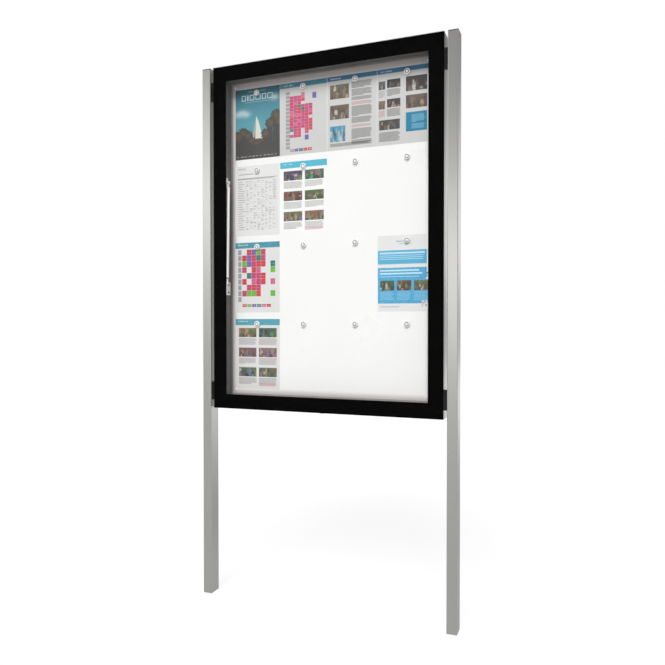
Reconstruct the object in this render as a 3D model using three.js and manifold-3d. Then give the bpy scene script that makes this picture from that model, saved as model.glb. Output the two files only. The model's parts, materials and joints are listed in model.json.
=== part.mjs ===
// Lockable notice board for outdoor use, standing on two posts.
// A shallow aluminium case holds a white steel display panel behind a full-front glass door.
// The door hangs from a continuous hinge along the top edge and is carried by two gas struts.
// Lengths are in millimetres. The front faces -Y, +X is to the right and +Z is up.
// Depths are counted from the front of the glass, and a bar's width from the outer edge inwards.

import * as THREE from 'three';
import { mergeVertices } from 'three/addons/utils/BufferGeometryUtils.js';
import Module from 'manifold-3d';

const wasm = await Module();
wasm.setup();

// Overall
const door_width = 985;
const door_height = 1440;
const case_bottom_height = 800;
const case_depth = 70;
const seat_gap = 0.3;
const cut_overrun = 5;

// Posts, caps and spacers
const post_width = 40;
const post_depth = 60;
const post_wall = 3;
const post_corner_radius = 3;
const post_gap = 13;
const cap_thickness = 3;
const cap_edge = 0.8;
const cap_insert_height = 14;
const cap_insert_wall = 2;
const spacer_height = 78;
const spacer_depth = 16;
const spacer_edge = 1;
const spacer_front_setback = 0.6;
const upper_spacer_drop = 89;
const lower_spacer_rise = 70;
const spacer_bolt_spacing = 48;
const spacer_bolt_hole_radius = 3.3;

// Glass door
const glass_thickness = 4;
const glass_edge = 0.5;
const border_thickness = 0.8;
const border_side = 60;
const border_top = 63;
const border_bottom = 60;
const door_rail_depth = 20;
const rail_wall = 2;
const rail_corner_radius = 2;
const mitre_clearance = 0.25;
const gasket_width = 6;
const gasket_groove_depth = 3;
const gasket_setback = 10;
const cleat_leg = 62;
const cleat_clearance = 0.5;

// Case, display panel and rear sheet
const case_rail_width = 52;
const flange_width = 28;
const flange_thickness = 2;
const flange_recess = 4.5;
const panel_thickness = 1.2;
const panel_margin = 3;
const panel_corner_radius = 2;
const panel_screw_inset = 19;
const panel_screw_hole_radius = 2.5;
const rear_sheet_thickness = 1.5;

// Continuous hinge
const hinge_end_setback = 12.5;
const hinge_leaf_height = 25;
const hinge_leaf_thickness = 1;
const hinge_leaf_gap = 0.6;
const hinge_pin_radius = 1.6;
const hinge_pin_clearance = 0.3;
const knuckle_wall = 1.2;
const knuckle_lift = 0.4;
const knuckle_end_gap = 0.4;
const knuckle_count = 17;

// Gas struts and their brackets
const door_opening_degrees = 55;
const case_pivot_depth = 13;
const case_pivot_drop = 912;
const door_pivot_depth = 23.9;
const door_pivot_drop = 484;
const cylinder_radius = 6;
const cylinder_wall = 1.2;
const cylinder_plug_height = 8;
const rod_guide_height = 12;
const rod_radius = 3;
const rod_clearance = 0.3;
const piston_radius = 4.5;
const piston_height = 8;
const piston_end_room = 18;
const thread_radius = 2;
const thread_length = 9;
const ball_radius = 4;
const ball_clearance = 0.3;
const ball_neck_radius = 2;
const socket_radius = 6.5;
const socket_mouth_offset = 2.6;
const socket_back_offset = 5.5;
const socket_edge = 0.5;
const socket_shank_radius = 3.7;
const socket_shank_length = 20;
const ball_stub_length = 1;
const bracket_thickness = 2;
const bracket_corner_radius = 3;
const bracket_screw_hole_radius = 2;
const case_bracket_height = 55;
const case_bracket_reach = 37;
const case_bracket_pivot_inset = 6.5;
const case_bracket_screw_setback = 14;
const case_bracket_screw_spacing = 32;
const door_bracket_height = 40;
const door_bracket_width = 23;
const door_bracket_pivot_inset = 7;
const door_bracket_screw_inset = 5.5;
const door_bracket_screw_spacing = 26;

// Cam lock
const lock_flange_radius = 9.5;
const lock_flange_height = 2;
const lock_barrel_radius = 7.5;
const lock_barrel_height = 22;
const lock_plug_radius = 5;
const lock_face_recess = 0.4;
const key_slot_width = 1.6;
const key_slot_length = 6.5;
const key_slot_depth = 8;
const drive_width = 6;
const drive_height = 4;
const cam_thickness = 2;
const cam_hub_radius = 6;
const cam_neck_width = 7;
const cam_length = 21.8;
const cam_hook_start = 15.6;
const cam_hook_reach = 7.4;
const cam_slot_clearance = 1;

// Magnets
const magnet_radius = 12;
const magnet_height = 8;
const magnet_edge_radius = 1.6;
const magnet_dome = 0.5;
const magnet_column_shares = [-0.36, -0.116, 0.142, 0.385];
const magnet_row_shares = [0.0395, 0.285, 0.528, 0.773];

// Heights and half widths
const case_top_height = case_bottom_height + door_height;
const half_width = door_width / 2;
const window_half_width = half_width - border_side;
const inner_half_width = half_width - case_rail_width;

// The door's bars are as wide as the case's, so their inner walls line up
const door_rail_width = case_rail_width;
const gasket_inset = door_rail_width - gasket_width - gasket_setback;

// Depths from the front of the glass
const border_front = glass_thickness + seat_gap;
const rail_front = border_front + border_thickness + seat_gap;
const door_back = rail_front + door_rail_depth;
const joint_gap = 2 * (hinge_leaf_thickness + seat_gap) + hinge_leaf_gap;
const case_front = door_back + joint_gap;
const flange_back = case_depth - flange_recess;
const flange_front = flange_back - flange_thickness;
const panel_front = flange_front - seat_gap - panel_thickness;
const rear_sheet_front = flange_back + seat_gap;

// Hinge
const hinge_length = door_width - 2 * hinge_end_setback;
const hinge_depth = (door_back + case_front) / 2;
const knuckle_radius = hinge_pin_radius + hinge_pin_clearance + knuckle_wall;
const hinge_axis_height = case_top_height + knuckle_lift + knuckle_radius;

// Strut line, closed and open
const case_pivot_height = case_top_height - case_pivot_drop;
const door_pivot_height = case_top_height - door_pivot_drop;
const opening_angle = THREE.MathUtils.degToRad(door_opening_degrees);
const case_pivot = new THREE.Vector2(case_pivot_depth, case_pivot_height);
const door_pivot = new THREE.Vector2(door_pivot_depth, door_pivot_height);
const hinge_axis = new THREE.Vector2(hinge_depth, hinge_axis_height);
const open_door_pivot = door_pivot.clone().rotateAround(hinge_axis, -opening_angle);
const strut_length = case_pivot.distanceTo(door_pivot);
const strut_stroke = case_pivot.distanceTo(open_door_pivot) - strut_length;
const strut_tilt = Math.atan2(door_pivot_depth - case_pivot_depth, door_pivot_height - case_pivot_height);
const bracket_face = inner_half_width - seat_gap - bracket_thickness;
const strut_half_spacing = bracket_face - seat_gap - cylinder_radius;

const satin_aluminium = { color: 0xc2c3bf, roughness: 0.42, metalness: 0.9 };
const black_plastic = { color: 0x1b1b1b, roughness: 0.6, metalness: 0 };
const stainless_steel = { color: 0xb4b4b2, roughness: 0.35, metalness: 1 };

function toSolid(geometry) {
  const plain = geometry.clone();
  plain.deleteAttribute('normal');
  plain.deleteAttribute('uv');
  const merged = mergeVertices(plain);
  return new wasm.Manifold(new wasm.Mesh({
    numProp: 3,
    vertProperties: new Float32Array(merged.attributes.position.array),
    triVerts: new Uint32Array(merged.index.array),
  }));
}

function toGeometry(solid) {
  const mesh = solid.getMesh();
  const geometry = new THREE.BufferGeometry();
  geometry.setAttribute('position', new THREE.BufferAttribute(mesh.vertProperties, 3));
  geometry.setIndex(new THREE.BufferAttribute(mesh.triVerts, 1));
  geometry.computeVertexNormals();
  return geometry;
}

function joined(...geometries) {
  return toGeometry(geometries.map(toSolid).reduce((whole, solid) => whole.add(solid)));
}

function cut(geometry, ...cutters) {
  return toGeometry(cutters.map(toSolid).reduce((rest, solid) => rest.subtract(solid), toSolid(geometry)));
}

// A mirrored copy has its triangles turned round, so its faces still point out.
function mirroredInX(geometry) {
  const copy = mergeVertices(geometry.clone());
  copy.scale(-1, 1, 1);
  const order = copy.index.array;
  for (let i = 0; i < order.length; i += 3) {
    [order[i], order[i + 1]] = [order[i + 1], order[i]];
  }
  copy.computeVertexNormals();
  return copy;
}

function forSide(side, geometry) {
  return side < 0 ? geometry : mirroredInX(geometry);
}

function piece(name, geometry, look) {
  const mesh = new THREE.Mesh(geometry, new THREE.MeshStandardMaterial(look));
  mesh.name = name;
  return mesh;
}

function box(width, depth, height) {
  return new THREE.BoxGeometry(width, depth, height);
}

function roundedRectangle(width, height, radius) {
  const right = width / 2;
  const top = height / 2;
  const shape = new THREE.Shape();
  shape.moveTo(right, top - radius);
  shape.absarc(right - radius, top - radius, radius, 0, Math.PI / 2);
  shape.absarc(radius - right, top - radius, radius, Math.PI / 2, Math.PI);
  shape.absarc(radius - right, radius - top, radius, Math.PI, 1.5 * Math.PI);
  shape.absarc(right - radius, radius - top, radius, 1.5 * Math.PI, 2 * Math.PI);
  return shape;
}

function polygon(points) {
  return new THREE.Shape(points.map(([x, y]) => new THREE.Vector2(x, y)));
}

function circlePoints(x, y, radius, sides) {
  return Array.from({ length: sides }, (_, i) => {
    const angle = 2 * Math.PI * i / sides;
    return new THREE.Vector2(x + radius * Math.cos(angle), y + radius * Math.sin(angle));
  });
}

function disc(x, y, radius, sides) {
  return new THREE.Shape(circlePoints(x, y, radius, sides));
}

function rectangle(left, bottom, right, top) {
  return polygon([[left, bottom], [right, bottom], [right, top], [left, top]]);
}

// Extrudes an upright outline, drawn in X and Z, from the front towards the back.
function extrudeBack(shape, thickness, options = {}) {
  const geometry = new THREE.ExtrudeGeometry(shape, { depth: thickness, bevelEnabled: false, ...options });
  geometry.rotateX(Math.PI / 2);
  geometry.translate(0, thickness, 0);
  return geometry;
}

// Extrudes an outline drawn in Y and Z towards +X.
function extrudeSideways(shape, width, options = {}) {
  const geometry = new THREE.ExtrudeGeometry(shape, { depth: width, bevelEnabled: false, ...options });
  geometry.rotateY(Math.PI / 2);
  geometry.rotateX(Math.PI / 2);
  return geometry;
}

// Turns a profile of radius and length round X.
function turnedAlongX(profile, segments) {
  const geometry = new THREE.LatheGeometry(profile.map(([r, x]) => new THREE.Vector2(r, x)), segments);
  geometry.rotateZ(-Math.PI / 2);
  return geometry;
}

function turnedAlongZ(profile, segments) {
  const geometry = new THREE.LatheGeometry(profile.map(([r, z]) => new THREE.Vector2(r, z)), segments);
  geometry.rotateX(Math.PI / 2);
  return geometry;
}

// A bar with 45 degree ends, made from an outline of width (from the outer edge) and depth.
// It runs along X with its outer edge up, centred on X.
function mitredLength(profile, length) {
  const geometry = new THREE.ExtrudeGeometry(profile, { depth: 1, bevelEnabled: false, curveSegments: 3 });
  const place = geometry.attributes.position;
  for (let i = 0; i < place.count; i += 1) {
    const inwards = place.getX(i);
    const half = length / 2 - inwards - mitre_clearance;
    const end = 2 * place.getZ(i) - 1;
    place.setXYZ(i, end * half, place.getY(i), -inwards);
  }
  geometry.computeVertexNormals();
  return geometry;
}

function mitredBar(section, length) {
  const chamber = mitredLength(section.chamber, length + 2 * cut_overrun);
  return cut(mitredLength(section.outline, length), chamber);
}

// Hollow case bar: a closed box section with a flange that carries the panel and the rear sheet.
function caseSection() {
  const flange_reach = case_rail_width + flange_width;
  const shape = new THREE.Shape();
  shape.moveTo(0, case_front);
  shape.lineTo(case_rail_width, case_front);
  shape.lineTo(case_rail_width, flange_front);
  shape.lineTo(flange_reach, flange_front);
  shape.lineTo(flange_reach, flange_back);
  shape.lineTo(case_rail_width, flange_back);
  shape.lineTo(case_rail_width, case_depth);
  shape.lineTo(rail_corner_radius, case_depth);
  const corner_depth = case_depth - rail_corner_radius;
  shape.absarc(rail_corner_radius, corner_depth, rail_corner_radius, Math.PI / 2, Math.PI);
  const chamber = rectangle(
    rail_wall,
    case_front + rail_wall,
    case_rail_width - rail_wall,
    case_depth - rail_wall,
  );
  return { outline: shape, chamber };
}

// Hollow door bar with a groove for the gasket in its back. The chamber steps round the groove.
function doorSection() {
  const groove_near = gasket_inset - seat_gap;
  const groove_far = gasket_inset + gasket_width + seat_gap;
  const groove_floor = door_back - gasket_groove_depth;
  const outline = polygon([
    [0, rail_front],
    [door_rail_width, rail_front],
    [door_rail_width, door_back],
    [groove_far, door_back],
    [groove_far, groove_floor],
    [groove_near, groove_floor],
    [groove_near, door_back],
    [0, door_back],
  ]);
  const chamber = polygon([
    [rail_wall, rail_front + rail_wall],
    [door_rail_width - rail_wall, rail_front + rail_wall],
    [door_rail_width - rail_wall, door_back - rail_wall],
    [groove_far + rail_wall, door_back - rail_wall],
    [groove_far + rail_wall, groove_floor - rail_wall],
    [groove_near - rail_wall, groove_floor - rail_wall],
    [groove_near - rail_wall, door_back - rail_wall],
    [rail_wall, door_back - rail_wall],
  ]);
  return { outline, chamber };
}

// The four bars of a mitred frame. The lower rail is turned over and the stiles stand on end.
function frameBars(prefix, section, cutLowerRail) {
  const rail = mitredBar(section, door_width);
  const stile = mitredBar(section, door_height);
  const top = piece(`${prefix}_rail_top`, rail, satin_aluminium);
  top.position.z = case_top_height;
  const bottom = piece(`${prefix}_rail_bottom`, cutLowerRail(rail), satin_aluminium);
  bottom.rotation.y = Math.PI;
  bottom.position.z = case_bottom_height;
  const middle_height = (case_top_height + case_bottom_height) / 2;
  const left = piece(`${prefix}_stile_left`, stile, satin_aluminium);
  left.rotation.y = -Math.PI / 2;
  left.position.set(-half_width, 0, middle_height);
  const right = piece(`${prefix}_stile_right`, stile, satin_aluminium);
  right.rotation.y = Math.PI / 2;
  right.position.set(half_width, 0, middle_height);
  return [top, bottom, left, right];
}

function postTube() {
  const height = case_top_height - cap_thickness - seat_gap;
  const shape = roundedRectangle(post_width, post_depth, post_corner_radius);
  const tube = new THREE.ExtrudeGeometry(shape, { depth: height, bevelEnabled: false, curveSegments: 3 });
  const bore = box(post_width - 2 * post_wall, post_depth - 2 * post_wall, height + 2 * cut_overrun);
  bore.translate(0, 0, height / 2);
  return cut(tube, bore);
}

// A pressed-in end cap: a plate with a softened top edge over a hollow insert.
function postCap() {
  const outline = roundedRectangle(
    post_width - 2 * cap_edge,
    post_depth - 2 * cap_edge,
    post_corner_radius - cap_edge,
  );
  const plate = new THREE.ExtrudeGeometry(outline, {
    depth: cap_thickness - 2 * cap_edge,
    bevelThickness: cap_edge,
    bevelSize: cap_edge,
    bevelSegments: 2,
    curveSegments: 3,
  });
  plate.translate(0, 0, cap_edge);
  const insert_width = post_width - 2 * (post_wall + seat_gap);
  const insert_depth = post_depth - 2 * (post_wall + seat_gap);
  const insert = box(insert_width, insert_depth, cap_insert_height + cap_edge);
  insert.translate(0, 0, (cap_edge - cap_insert_height) / 2);
  const hollow = box(
    insert_width - 2 * cap_insert_wall,
    insert_depth - 2 * cap_insert_wall,
    2 * cap_insert_height,
  );
  hollow.translate(0, 0, -cap_insert_height);
  return cut(joined(plate, insert), hollow);
}

// A block between the case and a post, bored for two bolts.
function spacerBlock() {
  const front = case_front + spacer_front_setback;
  const back = front + spacer_depth;
  const width = post_gap - 2 * seat_gap;
  const shape = rectangle(
    front + spacer_edge,
    spacer_edge - spacer_height / 2,
    back - spacer_edge,
    spacer_height / 2 - spacer_edge,
  );
  const block = extrudeSideways(shape, width - 2 * spacer_edge, {
    bevelEnabled: true,
    bevelThickness: spacer_edge,
    bevelSize: spacer_edge,
    bevelSegments: 1,
  });
  block.translate(spacer_edge - width / 2, 0, 0);
  const bolt_holes = [-1, 1].map((end) => {
    const outline = disc((front + back) / 2, end * spacer_bolt_spacing / 2, spacer_bolt_hole_radius, 16);
    const hole = extrudeSideways(outline, width + 2 * cut_overrun);
    hole.translate(-width / 2 - cut_overrun, 0, 0);
    return hole;
  });
  return cut(block, ...bolt_holes);
}

function postAssembly(side) {
  const name = side < 0 ? 'left' : 'right';
  const group = new THREE.Group();
  const post_x = side * (half_width + post_gap + post_width / 2);
  const post = piece(`post_${name}`, postTube(), satin_aluminium);
  post.position.set(post_x, post_depth / 2, 0);
  const cap = piece(`post_cap_${name}`, postCap(), black_plastic);
  cap.position.set(post_x, post_depth / 2, case_top_height - cap_thickness);
  const spacer_x = side * (half_width + post_gap / 2);
  const upper = piece(`spacer_upper_${name}`, spacerBlock(), black_plastic);
  upper.position.set(spacer_x, 0, case_top_height - upper_spacer_drop);
  const lower = piece(`spacer_lower_${name}`, spacerBlock(), black_plastic);
  lower.position.set(spacer_x, 0, case_bottom_height + lower_spacer_rise);
  group.add(post, cap, upper, lower);
  return group;
}

function displayPanel() {
  const width = 2 * (inner_half_width - panel_margin);
  const height = door_height - 2 * (case_rail_width + panel_margin);
  const shape = roundedRectangle(width, height, panel_corner_radius);
  const sheet = extrudeBack(shape, panel_thickness, { curveSegments: 3 });
  const holes = [-1, 1].flatMap((across) => [-1, 1].map((up) => {
    const hole = extrudeBack(disc(
      across * (width / 2 - panel_screw_inset),
      up * (height / 2 - panel_screw_inset),
      panel_screw_hole_radius,
      12,
    ), panel_thickness + 2 * cut_overrun);
    hole.translate(0, -cut_overrun, 0);
    return hole;
  }));
  return cut(sheet, ...holes);
}

function rearSheet() {
  const width = 2 * (inner_half_width - seat_gap);
  const height = door_height - 2 * (case_rail_width + seat_gap);
  return extrudeBack(rectangle(-width / 2, -height / 2, width / 2, height / 2), rear_sheet_thickness);
}

function magnet() {
  const profile = [
    [0, 0],
    [magnet_radius - magnet_edge_radius / 2, 0],
    [magnet_radius, magnet_edge_radius / 2],
    [magnet_radius, magnet_height - magnet_dome - magnet_edge_radius],
    [magnet_radius - magnet_edge_radius, magnet_height - magnet_dome],
    [0, magnet_height],
  ];
  return turnedAlongZ(profile, 18);
}

function magnets() {
  const panel_width = 2 * (inner_half_width - panel_margin);
  const panel_height = door_height - 2 * (case_rail_width + panel_margin);
  const panel_top = case_top_height - case_rail_width - panel_margin;
  const shape = magnet();
  const pieces = [];
  magnet_row_shares.forEach((row_share, row) => {
    magnet_column_shares.forEach((column_share, column) => {
      const button = piece(`magnet_row${row + 1}_column${column + 1}`, shape, {
        color: 0xf2f2f0,
        roughness: 0.35,
        metalness: 0,
      });
      button.rotation.x = Math.PI / 2;
      button.position.set(
        column_share * panel_width,
        panel_front - seat_gap,
        panel_top - row_share * panel_height,
      );
      pieces.push(button);
    });
  });
  return pieces;
}

// One leaf of the continuous hinge, with every second knuckle. The hinge axis is at its origin.
// The leaf's face lies behind the axis for the case, and the door's leaf is the same turned round.
function hingeLeaf(first_knuckle) {
  const pitch = hinge_length / knuckle_count;
  const leaf_start = hinge_leaf_gap / 2;
  const plate_top = -knuckle_radius - knuckle_lift;
  const plate = box(hinge_length, hinge_leaf_thickness, hinge_leaf_height);
  plate.translate(0, leaf_start + hinge_leaf_thickness / 2, plate_top - hinge_leaf_height / 2);
  const parts = [plate];
  const barrel_shape = disc(0, 0, knuckle_radius, 14);
  const bore_radius = hinge_pin_radius + hinge_pin_clearance;
  for (let i = first_knuckle; i < knuckle_count; i += 2) {
    const width = pitch - knuckle_end_gap;
    const middle = (i + 0.5) * pitch - hinge_length / 2;
    const barrel = extrudeSideways(barrel_shape, width);
    barrel.translate(middle - width / 2, 0, 0);
    const tab_bottom = plate_top - hinge_leaf_thickness;
    const tab_top = -(bore_radius + knuckle_wall / 2);
    const tab = box(width, hinge_leaf_thickness, tab_top - tab_bottom);
    tab.translate(middle, leaf_start + hinge_leaf_thickness / 2, (tab_top + tab_bottom) / 2);
    parts.push(tab, barrel);
  }
  const bore = extrudeSideways(disc(0, 0, bore_radius, 14), hinge_length + 2 * cut_overrun);
  bore.translate(-hinge_length / 2 - cut_overrun, 0, 0);
  return cut(joined(...parts), bore);
}

function hingePin() {
  const dome = hinge_pin_radius / 2;
  const half = hinge_length / 2;
  const profile = [
    [0, -half - dome],
    [hinge_pin_radius - dome, -half - dome],
    [hinge_pin_radius, -half],
    [hinge_pin_radius, half],
    [hinge_pin_radius - dome, half + dome],
    [0, half + dome],
  ];
  return turnedAlongX(profile, 12);
}

function hinge() {
  const group = new THREE.Group();
  group.position.set(0, hinge_depth, hinge_axis_height);
  const case_leaf = piece('hinge_leaf_case', hingeLeaf(0), stainless_steel);
  const door_leaf = piece('hinge_leaf_door', hingeLeaf(1), stainless_steel);
  door_leaf.rotation.z = Math.PI;
  const pin = piece('hinge_pin', hingePin(), stainless_steel);
  group.add(case_leaf, door_leaf, pin);
  return group;
}

// A screwed plate that lies against the left inner wall, seen from inside the case.
// Its screw holes are given by their depth and height from the pivot.
function bracketPlate(front, back, bottom, top, screw_places) {
  const shape = roundedRectangle(back - front, top - bottom, bracket_corner_radius);
  const plate = extrudeSideways(shape, bracket_thickness, { curveSegments: 3 });
  plate.translate(0, (front + back) / 2, (top + bottom) / 2);
  const holes = screw_places.map(([depth, height]) => {
    const outline = disc(depth, height, bracket_screw_hole_radius, 12);
    const hole = extrudeSideways(outline, bracket_thickness + 2 * cut_overrun);
    hole.translate(-cut_overrun, 0, 0);
    return hole;
  });
  return cut(plate, ...holes);
}

// The ball's centre is on the strut line, and its neck is rooted in the plate.
function caseBracket() {
  const ball_reach = bracket_thickness + seat_gap + cylinder_radius;
  const neck_end = ball_reach - Math.sqrt(ball_radius ** 2 - ball_neck_radius ** 2);
  const plate_middle = case_bracket_pivot_inset - case_bracket_height / 2;
  const plate = bracketPlate(
    -case_bracket_pivot_inset,
    case_bracket_reach,
    case_bracket_pivot_inset - case_bracket_height,
    case_bracket_pivot_inset,
    [-1, 1].map((end) => [
      case_bracket_reach - case_bracket_screw_setback,
      plate_middle + end * case_bracket_screw_spacing / 2,
    ]),
  );
  const profile = [
    [0, bracket_thickness / 2],
    [ball_neck_radius, bracket_thickness / 2],
    [ball_neck_radius, neck_end],
  ];
  const steps = 8;
  const start = Math.asin(ball_neck_radius / ball_radius);
  for (let i = 1; i < steps; i += 1) {
    const angle = start + (Math.PI - start) * i / steps;
    profile.push([ball_radius * Math.sin(angle), ball_reach - ball_radius * Math.cos(angle)]);
  }
  profile.push([0, ball_reach + ball_radius]);
  return joined(plate, turnedAlongX(profile, 14));
}

// The stud on the door's plate stops just short of the ball that sits in the strut's upper socket.
function doorBracket() {
  const plate = bracketPlate(
    door_bracket_pivot_inset - door_bracket_width,
    door_bracket_pivot_inset,
    -door_bracket_height / 2,
    door_bracket_height / 2,
    [-1, 1].map((end) => [
      door_bracket_pivot_inset - door_bracket_width + door_bracket_screw_inset,
      end * door_bracket_screw_spacing / 2,
    ]),
  );
  const stub_end = cylinder_radius + seat_gap - socket_mouth_offset - ball_stub_length;
  const stud_end = bracket_thickness + stub_end - seat_gap;
  const stud = turnedAlongX([
    [0, bracket_thickness / 2],
    [ball_neck_radius, bracket_thickness / 2],
    [ball_neck_radius, stud_end],
    [0, stud_end],
  ], 14);
  return joined(plate, stud);
}

// A moulded socket: a cup that opens sideways over the ball, on a shank bored for the thread.
function socketBody() {
  const cup = turnedAlongX([
    [0, -socket_mouth_offset],
    [socket_radius - socket_edge, -socket_mouth_offset],
    [socket_radius, socket_edge - socket_mouth_offset],
    [socket_radius, socket_back_offset - socket_edge],
    [socket_radius - socket_edge, socket_back_offset],
    [0, socket_back_offset],
  ], 18);
  const shank = turnedAlongZ([
    [0, 0],
    [socket_shank_radius, 0],
    [socket_shank_radius, socket_shank_length],
    [0, socket_shank_length],
  ], 14);
  const thread_bore = turnedAlongZ([
    [0, socket_shank_length - thread_length - seat_gap],
    [thread_radius + rod_clearance, socket_shank_length - thread_length - seat_gap],
    [thread_radius + rod_clearance, socket_shank_length + cut_overrun],
    [0, socket_shank_length + cut_overrun],
  ], 12);
  return cut(joined(cup, shank), thread_bore);
}

function openSocket() {
  const cavity = new THREE.SphereGeometry(ball_radius + ball_clearance, 16, 12);
  cavity.rotateZ(Math.PI / 2);
  const mouth_radius = Math.sqrt((ball_radius + ball_clearance) ** 2 - socket_mouth_offset ** 2);
  const mouth = turnedAlongX([
    [0, -socket_mouth_offset - cut_overrun],
    [mouth_radius, -socket_mouth_offset - cut_overrun],
    [mouth_radius, 0],
    [0, 0],
  ], 16);
  return cut(socketBody(), cavity, mouth);
}

// The upper socket with its ball inside: only the end of the ball's neck shows.
function filledSocket() {
  const stub = turnedAlongX([
    [0, -socket_mouth_offset - ball_stub_length],
    [ball_neck_radius, -socket_mouth_offset - ball_stub_length],
    [ball_neck_radius, 0],
    [0, 0],
  ], 14);
  return joined(socketBody(), stub);
}

function strut(side) {
  const name = side < 0 ? 'left' : 'right';
  const light_plastic = { color: 0xb9bab6, roughness: 0.5, metalness: 0 };
  const cylinder_top = strut_length - socket_shank_length - seat_gap;
  const cylinder_length = strut_stroke + piston_height + rod_guide_height + cylinder_plug_height
    + 2 * piston_end_room;
  const cylinder_bottom = cylinder_top - cylinder_length;
  const bore_radius = cylinder_radius - cylinder_wall;
  const edge = cylinder_wall / 2;
  const guide_radius = rod_radius + rod_clearance;
  const cylinder = piece(`strut_cylinder_${name}`, turnedAlongZ([
    [guide_radius, cylinder_bottom],
    [cylinder_radius - edge, cylinder_bottom],
    [cylinder_radius, cylinder_bottom + edge],
    [cylinder_radius, cylinder_top - edge],
    [cylinder_radius - edge, cylinder_top],
    [thread_radius, cylinder_top],
    [thread_radius, cylinder_top + thread_length],
    [0, cylinder_top + thread_length],
    [0, cylinder_top - cylinder_plug_height],
    [bore_radius, cylinder_top - cylinder_plug_height],
    [bore_radius, cylinder_bottom + rod_guide_height],
    [guide_radius, cylinder_bottom + rod_guide_height],
    [guide_radius, cylinder_bottom],
  ], 18), { color: 0xebeceb, roughness: 0.3, metalness: 0 });
  const rod_start = socket_shank_length + seat_gap;
  const rod_end = cylinder_top - cylinder_plug_height - piston_end_room;
  const rod = piece(`strut_rod_${name}`, turnedAlongZ([
    [0, rod_start - thread_length],
    [thread_radius, rod_start - thread_length],
    [thread_radius, rod_start],
    [rod_radius, rod_start],
    [rod_radius, rod_end - piston_height],
    [piston_radius, rod_end - piston_height],
    [piston_radius, rod_end],
    [0, rod_end],
  ], 14), { color: 0xc8c9ca, roughness: 0.15, metalness: 1 });
  const lower_socket = piece(`strut_socket_lower_${name}`, forSide(side, openSocket()), light_plastic);
  const upper_socket = piece(`strut_socket_upper_${name}`, forSide(side, filledSocket()), light_plastic);
  upper_socket.rotation.set(Math.PI, 0, 0);
  upper_socket.position.z = strut_length;
  const line = new THREE.Group();
  line.add(cylinder, rod, lower_socket, upper_socket);
  line.rotation.x = -strut_tilt;
  line.position.set(side * strut_half_spacing, case_pivot_depth, case_pivot_height);

  const bracket_x = side * (inner_half_width - seat_gap);
  const case_bracket = piece(`strut_bracket_case_${name}`, forSide(side, caseBracket()), stainless_steel);
  case_bracket.position.set(bracket_x, case_pivot_depth, case_pivot_height);
  const door_bracket = piece(`strut_bracket_door_${name}`, forSide(side, doorBracket()), stainless_steel);
  door_bracket.position.set(bracket_x, door_pivot_depth, door_pivot_height);
  const group = new THREE.Group();
  group.add(line, case_bracket, door_bracket);
  return group;
}

function doorGlass() {
  const pane = extrudeBack(rectangle(
    glass_edge - half_width,
    glass_edge,
    half_width - glass_edge,
    door_height - glass_edge,
  ), glass_thickness - 2 * glass_edge, {
    bevelEnabled: true,
    bevelThickness: glass_edge,
    bevelSize: glass_edge,
    bevelSegments: 1,
  });
  pane.translate(0, glass_edge, 0);
  return pane;
}

// Black ceramic border on the back of the glass. It hides the bars behind it.
function glassBorder() {
  const shape = rectangle(-half_width, 0, half_width, door_height);
  shape.holes.push(rectangle(
    -window_half_width,
    border_bottom,
    window_half_width,
    door_height - border_top,
  ));
  return extrudeBack(shape, border_thickness);
}

function gasketRing() {
  const outer = half_width - gasket_inset;
  const inner = outer - gasket_width;
  const shape = rectangle(-outer, gasket_inset, outer, door_height - gasket_inset);
  shape.holes.push(rectangle(
    -inner,
    gasket_inset + gasket_width,
    inner,
    door_height - gasket_inset - gasket_width,
  ));
  return extrudeBack(shape, gasket_groove_depth + joint_gap - 2 * seat_gap);
}

// Angle key inside a door corner, drawn for the upper left corner from its outer tip.
function cornerCleat() {
  const inset = rail_wall + cleat_clearance;
  const leg_width = gasket_inset - seat_gap - rail_wall - cleat_clearance - inset;
  const thickness = door_rail_depth - 2 * (rail_wall + cleat_clearance);
  const shape = polygon([
    [0, 0],
    [0, -cleat_leg],
    [leg_width, -cleat_leg],
    [leg_width, -leg_width],
    [cleat_leg, -leg_width],
    [cleat_leg, 0],
  ]);
  const geometry = extrudeBack(shape, thickness);
  geometry.translate(inset, 0, -inset);
  return geometry;
}

function doorCleats() {
  const names = ['upper_left', 'upper_right', 'lower_right', 'lower_left'];
  const corners = [
    [-half_width, case_top_height],
    [half_width, case_top_height],
    [half_width, case_bottom_height],
    [-half_width, case_bottom_height],
  ];
  const shape = cornerCleat();
  return names.map((name, turn) => {
    const cleat = piece(`door_cleat_${name}`, shape, { color: 0x9fa09e, roughness: 0.55, metalness: 0.9 });
    cleat.rotation.y = turn * Math.PI / 2;
    const [x, z] = corners[turn];
    cleat.position.set(x, rail_front + rail_wall + cleat_clearance, z);
    return cleat;
  });
}

// Farthest reach along X of the turning cam, at a wall that lies this far from the lock's axis.
function camReachAt(wall_offset) {
  return Math.sqrt(cam_length ** 2 + cam_hook_reach ** 2 - wall_offset ** 2);
}

// Slot through a wall for the cam. The lower rails are turned over, so +X points to the left here.
function camSlot(wall_front, wall_back) {
  const lock_depth = rail_front + door_rail_depth / 2;
  const left = cam_neck_width / 2 + cam_slot_clearance;
  const right = camReachAt(wall_front - lock_depth) + cam_slot_clearance;
  const cam_height = lock_barrel_height + cam_thickness / 2;
  const slot = box(left + right, wall_back - wall_front, cam_thickness + 2 * cam_slot_clearance);
  slot.translate((left - right) / 2, (wall_front + wall_back) / 2, -cam_height);
  return slot;
}

function caseRailWithSlot(rail) {
  return cut(rail, camSlot(case_front - joint_gap / 2, case_front + 2 * rail_wall));
}

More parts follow.
